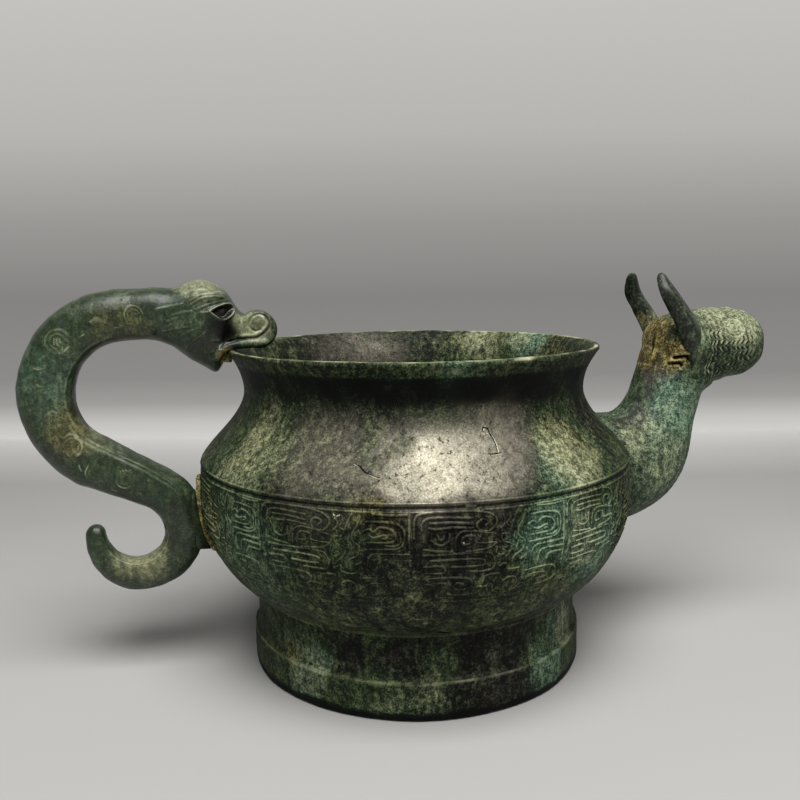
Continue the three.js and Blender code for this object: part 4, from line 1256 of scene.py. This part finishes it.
# Stations from the neck forward: place, top, underside and half width
SKULL_STATIONS = [
    (-38, 24.4, 5.8, 7.9), (-33, 25.2, 4.8, 8.5), (-28.5, 25.6, 4.4, 8.9), (-25, 25.5, 3.1, 9.2),
    (-21, 25.3, 1.2, 9.4), (-15, 27.3, -3.6, 10.8), (-9.5, 28.3, -7, 11.8), (-5, 27.2, -9.4, 12),
    (-2, 25.2, -6, 11.6), (0.5, 23.4, 1, 11), (3, 19.3, 1.2, 9.6), (5.4, 15.6, 1.4, 8), (9, 13.5, 2.5, 7),
]
ROLL_CENTRE = (12.7, 8)
ROLL_RADIUS = 7.6
ROLL_HALF = 8.2
LIP_RUN = [(15, 3), (9, 2.6), (4, 2.4), (0, 1.7), (-2.6, 0.4), (-4.4, -1.8)]
LIP_HALVES = [(-5, 10.6), (0, 9.4), (8, 7)]
LIP_RADIUS = 2.0
BROW_LUMP = ((-8, 8.4, 20.5), (8, 3, 3.4))
DRAGON_GRAIN = 0.36
# Side lines of the head, forward of and above the bite
EYE_RIM = [
    (-6.2, 16.1), (-4, 14.3), (-0.9, 12.6), (2.5, 14.7), (3.2, 17), (1.2, 18.8), (-2.8, 17.9), (-6.2, 16.1),
]
EYE_TAIL = [(-9.6, 15.6), (-7.8, 15.6), (-6.2, 16)]
BROW_LINES = [
    [(-14.5, 19.6), (-10, 22.3), (-6, 23.2), (-2, 23.6)],
    [(-13.5, 18.8), (-8.8, 21.4), (-4.4, 22), (-0.6, 21.6)],
    [(-11.5, 16.8), (-6.2, 18.9), (-1.4, 19.9), (1.4, 20.3)],
]
CHEEK_CURL = [(-3.4, 4.4), (-6.9, 4.2), (-8.7, 1.7), (-7.8, -0.8), (-6, 0.2)]
MANE_LINES = [
    [(-22.9, 12.3), (-18.7, 13.7)], [(-24.4, 8.5), (-19.6, 9.4), (-14.8, 10.1)],
    [(-19.2, 5.5), (-15.6, 7.9), (-11.5, 9.2)], [(-20.7, 14.7), (-17.3, 15.6), (-13.2, 16.2)],
    [(-16, 2), (-12.5, 5), (-9, 7)], [(-27, 17), (-22, 18), (-17, 19)],
]
SCROLL = [
    (-2.4, 1.4), (0, 3.3), (6.4, 4.7), (12, 5), (15.8, 7.6), (17, 10.6), (15.4, 13.6), (12.2, 14.3),
    (9.5, 12.4), (9.3, 9.6), (11.2, 7.7), (13.6, 7.9),
]
SCROLL_LIP = [(0, 4.4), (6.2, 5.8), (11.4, 6), (14.8, 8.2), (15.8, 10.6), (14.6, 12.6)]
SCROLL_BOSS = (12.8, 10.7)
SCROLL_START = 7
CHEEK_PAINTED_SHADE = (-1.5, 8.5)
skull_run = evened([station[:3] for station in SKULL_STATIONS], 6)
skull_halves = evened([(station[0], station[3]) for station in SKULL_STATIONS], 6)[:, 1]
skull_run = np.column_stack([skull_run, skull_halves])


def within(flat, run):
    """Whether each flat place lies inside a closed run."""
    points = evened(run, 4)
    inside = np.zeros(len(flat), bool)
    for (x0, z0), (x1, z1) in zip(points, points[1:]):
        if z0 != z1:
            crossed = (z0 > flat[:, 1]) != (z1 > flat[:, 1])
            inside ^= crossed & (flat[:, 0] < x0 + (flat[:, 1] - z0) * (x1 - x0) / (z1 - z0))
    return inside


def skull_place(angle, along):
    x, top, low, half = at_share(skull_run, along)
    up = math.cos(angle)
    z = (top + low) / 2 + shaped(up, 0.85) * (top - low) / 2
    return BITE + Vector((x, math.sin(angle) * half * (1 + 0.12 * up), z))


def roll_place(angle, along):
    edge = 2 * along - 1
    radius = ROLL_RADIUS * (1 - 3 * max(0.0, abs(edge) - 0.8) ** 2)
    x = ROLL_CENTRE[0] + radius * math.cos(angle)
    return BITE + Vector((x, edge * ROLL_HALF, ROLL_CENTRE[1] + radius * math.sin(angle)))


dragon_parts = [wrapped(56, 90, skull_place), wrapped(56, 24, roll_place)]
for side in (1, -1):
    x, y, z = BROW_LUMP[0]
    dragon_parts.append(ball(BITE + Vector((x, side * y, z)), BROW_LUMP[1]))
    for x, z in flowing(LIP_RUN, 3):
        half = float(np.interp(x, *zip(*LIP_HALVES)))
        dragon_parts.append(ball(BITE + Vector((x, side * half, z)), (LIP_RADIUS, LIP_RADIUS, LIP_RADIUS)))
dragon_bm = fused(dragon_parts, DRAGON_GRAIN)
smoothed(dragon_bm, 4)


def dragon_relief(places, normals):
    """Hollow eyes with a raised rim, brow bars, curls of the mane, the scroll of the snout, and a painted
    shade on the cheek below the eye.
    """
    flat = places[:, [0, 2]] - np.array([BITE.x, BITE.z])
    side = np.clip(np.abs(normals[:, 1]) * 1.8, 0, 1)
    rim = near(flat, EYE_RIM, 0.5)
    tail = near(flat, EYE_TAIL, 0.4)
    hollow = within(flat, EYE_RIM) * (1 - rim)
    lift = 0.7 * rim + 0.4 * tail - 2 * hollow
    mark = 1.1 * rim + 0.8 * tail - 1.2 * hollow
    for line in BROW_LINES:
        bar = near(flat, line, 0.38) - 0.7 * near(flat, [(x, z - 0.8) for x, z in line], 0.34)
        lift += 0.18 * bar
        mark += 0.6 * bar
    for line in [CHEEK_CURL, *MANE_LINES]:
        bar = near(flat, line, 0.42)
        lift += 0.35 * bar
        mark += 0.6 * bar
    behind_scroll = flat[:, 0] <= SCROLL_START
    lift *= behind_scroll
    mark *= behind_scroll
    groove = near(flat, SCROLL, 0.45)
    ledge = near(flat, SCROLL_LIP, 0.75)
    boss = glow(flat, SCROLL_BOSS, 1.9)
    circle = glow(flat, SCROLL_BOSS, 0.55, 3.1)
    lift += 0.4 * ledge - 0.6 * groove + 0.6 * boss + 0.3 * circle
    mark += worn_at(places, 2.5, 0.6, 0.9) * (1.3 * ledge + 1.3 * circle) - 0.5 * groove - 0.35 * boss
    # Painted shade on the cheek below the eye.
    mark -= 0.8 * glow(flat, CHEEK_PAINTED_SHADE, 5)
    return lift * side, mark * side


emboss(dragon_bm, dragon_relief)
weather(dragon_bm, (0.2, 5))
dragon_bronze = bronze(
    "dragon_bronze", 0.25, ARM_WAX, ARM_GLOSS,
    Green=(ARM_GREEN, [((-82, -11, 138), 9, 0.5), ((-74, -10, 150), 6, 0.4)]),
    Blue=0.1,
    # The pale dust on the crown is partly a painted highlight.
    Dust=(ARM_DUST, [NECK_DUST, ((-88, -7, 162), 10, 0.78), ((-66, -8, 143), 7, 1.0),
                     ((-84, -11, 139), 11, 0.0), ((-71, -9, 146), 5, 0.9)]),
    Ochre=(0.0, [NECK_EARTH, ((-78.5, -11, 131), 4, 0.9)]),
    Smooth=ARM_SMOOTH)
dressed("dragon_head_casting", dragon_bm, dragon_bronze, "dragon_head")

# Handle solders. One lump under the rim inside the dragon's jaw and one strip between the lug and the belly.
# Tin and lead, tan and rough. They hold the handle to the bowl.
seam("rim_lump", "rim_solder", solder, 12)
seam("lug_strip", "lug_solder", solder, 5)

# Studio. A pale floor that runs back to a plain board, lit by one soft lamp from above and a little in front.
# The floor's greys change with distance, and the board glows with greys of its own for the camera and in
# reflections: painted light and shade.
# Painted board and paper. None of it belongs to the vessel.
CAMERA_PLACE = (-75.7, -356.2, 165.7)
CAMERA_HEADING = (0.1922, 0.9814)
CAMERA_PITCH = 0.1519
CAMERA_ROLL = 0.01324
CAMERA_LENS = 38.25
SENSOR_WIDTH = 36
BOARD_DISTANCE = 853
SHADE_HEIGHT = 500
# Greys by share of the way to the board, and up the board: painted light and shade, with a bright band where
# floor and board meet.
FLOOR_PAINTED_LIGHT = [(0.0, 0.46), (0.52, 0.46), (0.66, 0.42), (0.78, 0.42), (0.9, 0.62), (1.0, 0.855)]
BOARD_PAINTED_LIGHT = [
    (0.0, 0.63), (0.03, 0.54), (0.07, 0.34), (0.12, 0.26), (0.28, 0.23), (0.42, 0.31), (0.6, 0.47),
    (1.0, 0.60),
]
BOARD_TONE = (0.3, 0.3, 0.29)
# Sizes of the studio in metres
HALF_WIDTH = 3
FLOOR_BEHIND_CAMERA = 1.2
FLOOR_UNDER_BOARD = 0.02
FLOOR_DROP = Vector((0, 0, -0.0002))
BOARD_FOOT = -0.01
BOARD_UP = Vector((0, 0, 1.2))
LAMP_SIZE = 0.8
LAMP_POWER = 19
LAMP_PLACE = (-0.03, -0.5, 1.05)
LAMP_AIM = Vector((0, 0, 0.1))
SKY_TONE = (0.75, 0.76, 0.78)
SKY_STRENGTH = 0.05
sight_line = Vector((CAMERA_HEADING[0], CAMERA_HEADING[1], 0)).normalized()
side_line = Vector((sight_line.y, -sight_line.x, 0))
camera_spot = AXIS + Vector(CAMERA_PLACE) * MM
camera_foot = Vector((camera_spot.x, camera_spot.y, 0))


def greys(value, stops):
    """Warm greys that follow a value from 0 to 1."""
    return ramped(value, [(spot, rgb(grey, 0.985 * grey, 0.95 * grey)) for spot, grey in stops])


def sheet(name, start, end):
    """A wide sheet between two lines across the view; gives its node tree and the place on it."""
    wide = side_line * HALF_WIDTH
    bm = bmesh.new()
    bm.faces.new([bm.verts.new(corner) for corner in (start - wide, start + wide, end + wide, end - wide)])
    material = bpy.data.materials.new(name)
    material.use_nodes = True
    piece(name, bm, material)
    return material.node_tree, place_node(material.node_tree, "ShaderNodeTexCoord").outputs["Object"]


floor_front = camera_foot - sight_line * FLOOR_BEHIND_CAMERA
floor_back = camera_foot + sight_line * (BOARD_DISTANCE * MM + FLOOR_UNDER_BOARD)
floor_tree, floor_spot = sheet("floor", floor_front + FLOOR_DROP, floor_back + FLOOR_DROP)
from_camera = place_node(floor_tree, "ShaderNodeVectorMath", {0: floor_spot, 1: camera_foot},
                         operation="SUBTRACT").outputs[0]
floor_away = place_node(floor_tree, "ShaderNodeVectorMath", {0: from_camera, 1: sight_line},
                        operation="DOT_PRODUCT").outputs["Value"]
floor_shader = floor_tree.nodes["Principled BSDF"].inputs
feed(floor_shader["Base Color"], greys(sums("DIVIDE", floor_away, BOARD_DISTANCE * MM), FLOOR_PAINTED_LIGHT))
floor_shader["Roughness"].default_value = 0.9
floor_shader["Specular IOR Level"].default_value = 0.2
board_foot = camera_foot + sight_line * BOARD_DISTANCE * MM
board_foot.z = BOARD_FOOT
board_tree, board_spot = sheet("board", board_foot, board_foot + BOARD_UP)
board_rise = place_node(board_tree, "ShaderNodeSeparateXYZ", {0: board_spot}).outputs["Z"]
board_painted_light = greys(sums("DIVIDE", board_rise, SHADE_HEIGHT * MM), BOARD_PAINTED_LIGHT)
board_glow = place_node(board_tree, "ShaderNodeEmission", {"Color": board_painted_light}).outputs[0]
board_shader = board_tree.nodes["Principled BSDF"]
board_shader.inputs["Base Color"].default_value = rgb(*BOARD_TONE)
# The board glows with its painted greys for the camera, reflections and transmission, and is plain grey paint
# for other light.
rays = place_node(board_tree, "ShaderNodeLightPath").outputs
seen = sums("MAXIMUM", rays["Is Camera Ray"], rays["Is Glossy Ray"])
seen = sums("MAXIMUM", seen, rays["Is Transmission Ray"])
board_looks = {0: seen, 1: board_shader.outputs[0], 2: board_glow}
board_mix = place_node(board_tree, "ShaderNodeMixShader", board_looks)
feed(board_tree.nodes["Material Output"].inputs["Surface"], board_mix.outputs[0])
camera_data = bpy.data.cameras.new("camera")
camera_data.sensor_width = SENSOR_WIDTH
camera_data.lens = CAMERA_LENS
camera_data.clip_start = 0.01
camera = placed("camera", camera_data)
sight = sight_line * math.cos(CAMERA_PITCH) - Vector((0, 0, 1)) * math.sin(CAMERA_PITCH)
turned = sight.to_track_quat("-Z", "Y").to_matrix().to_4x4()
camera.matrix_world = Matrix.Translation(camera_spot) @ Matrix.Rotation(CAMERA_ROLL, 4, sight) @ turned
bpy.context.scene.camera = camera
lamp_data = bpy.data.lights.new("key", "AREA")
lamp_data.shape = "SQUARE"
lamp_data.size = LAMP_SIZE
lamp_data.energy = LAMP_POWER
lamp = placed("key", lamp_data)
lamp.location = LAMP_PLACE
lamp.rotation_euler = (LAMP_AIM - lamp.location).to_track_quat("-Z", "Y").to_euler()
world = bpy.data.worlds.new("studio")
bpy.context.scene.world = world
world.use_nodes = True
sky = world.node_tree.nodes["Background"].inputs
sky["Color"].default_value = rgb(*SKY_TONE)
sky["Strength"].default_value = SKY_STRENGTH
bpy.context.scene.view_settings.view_transform = "Standard"
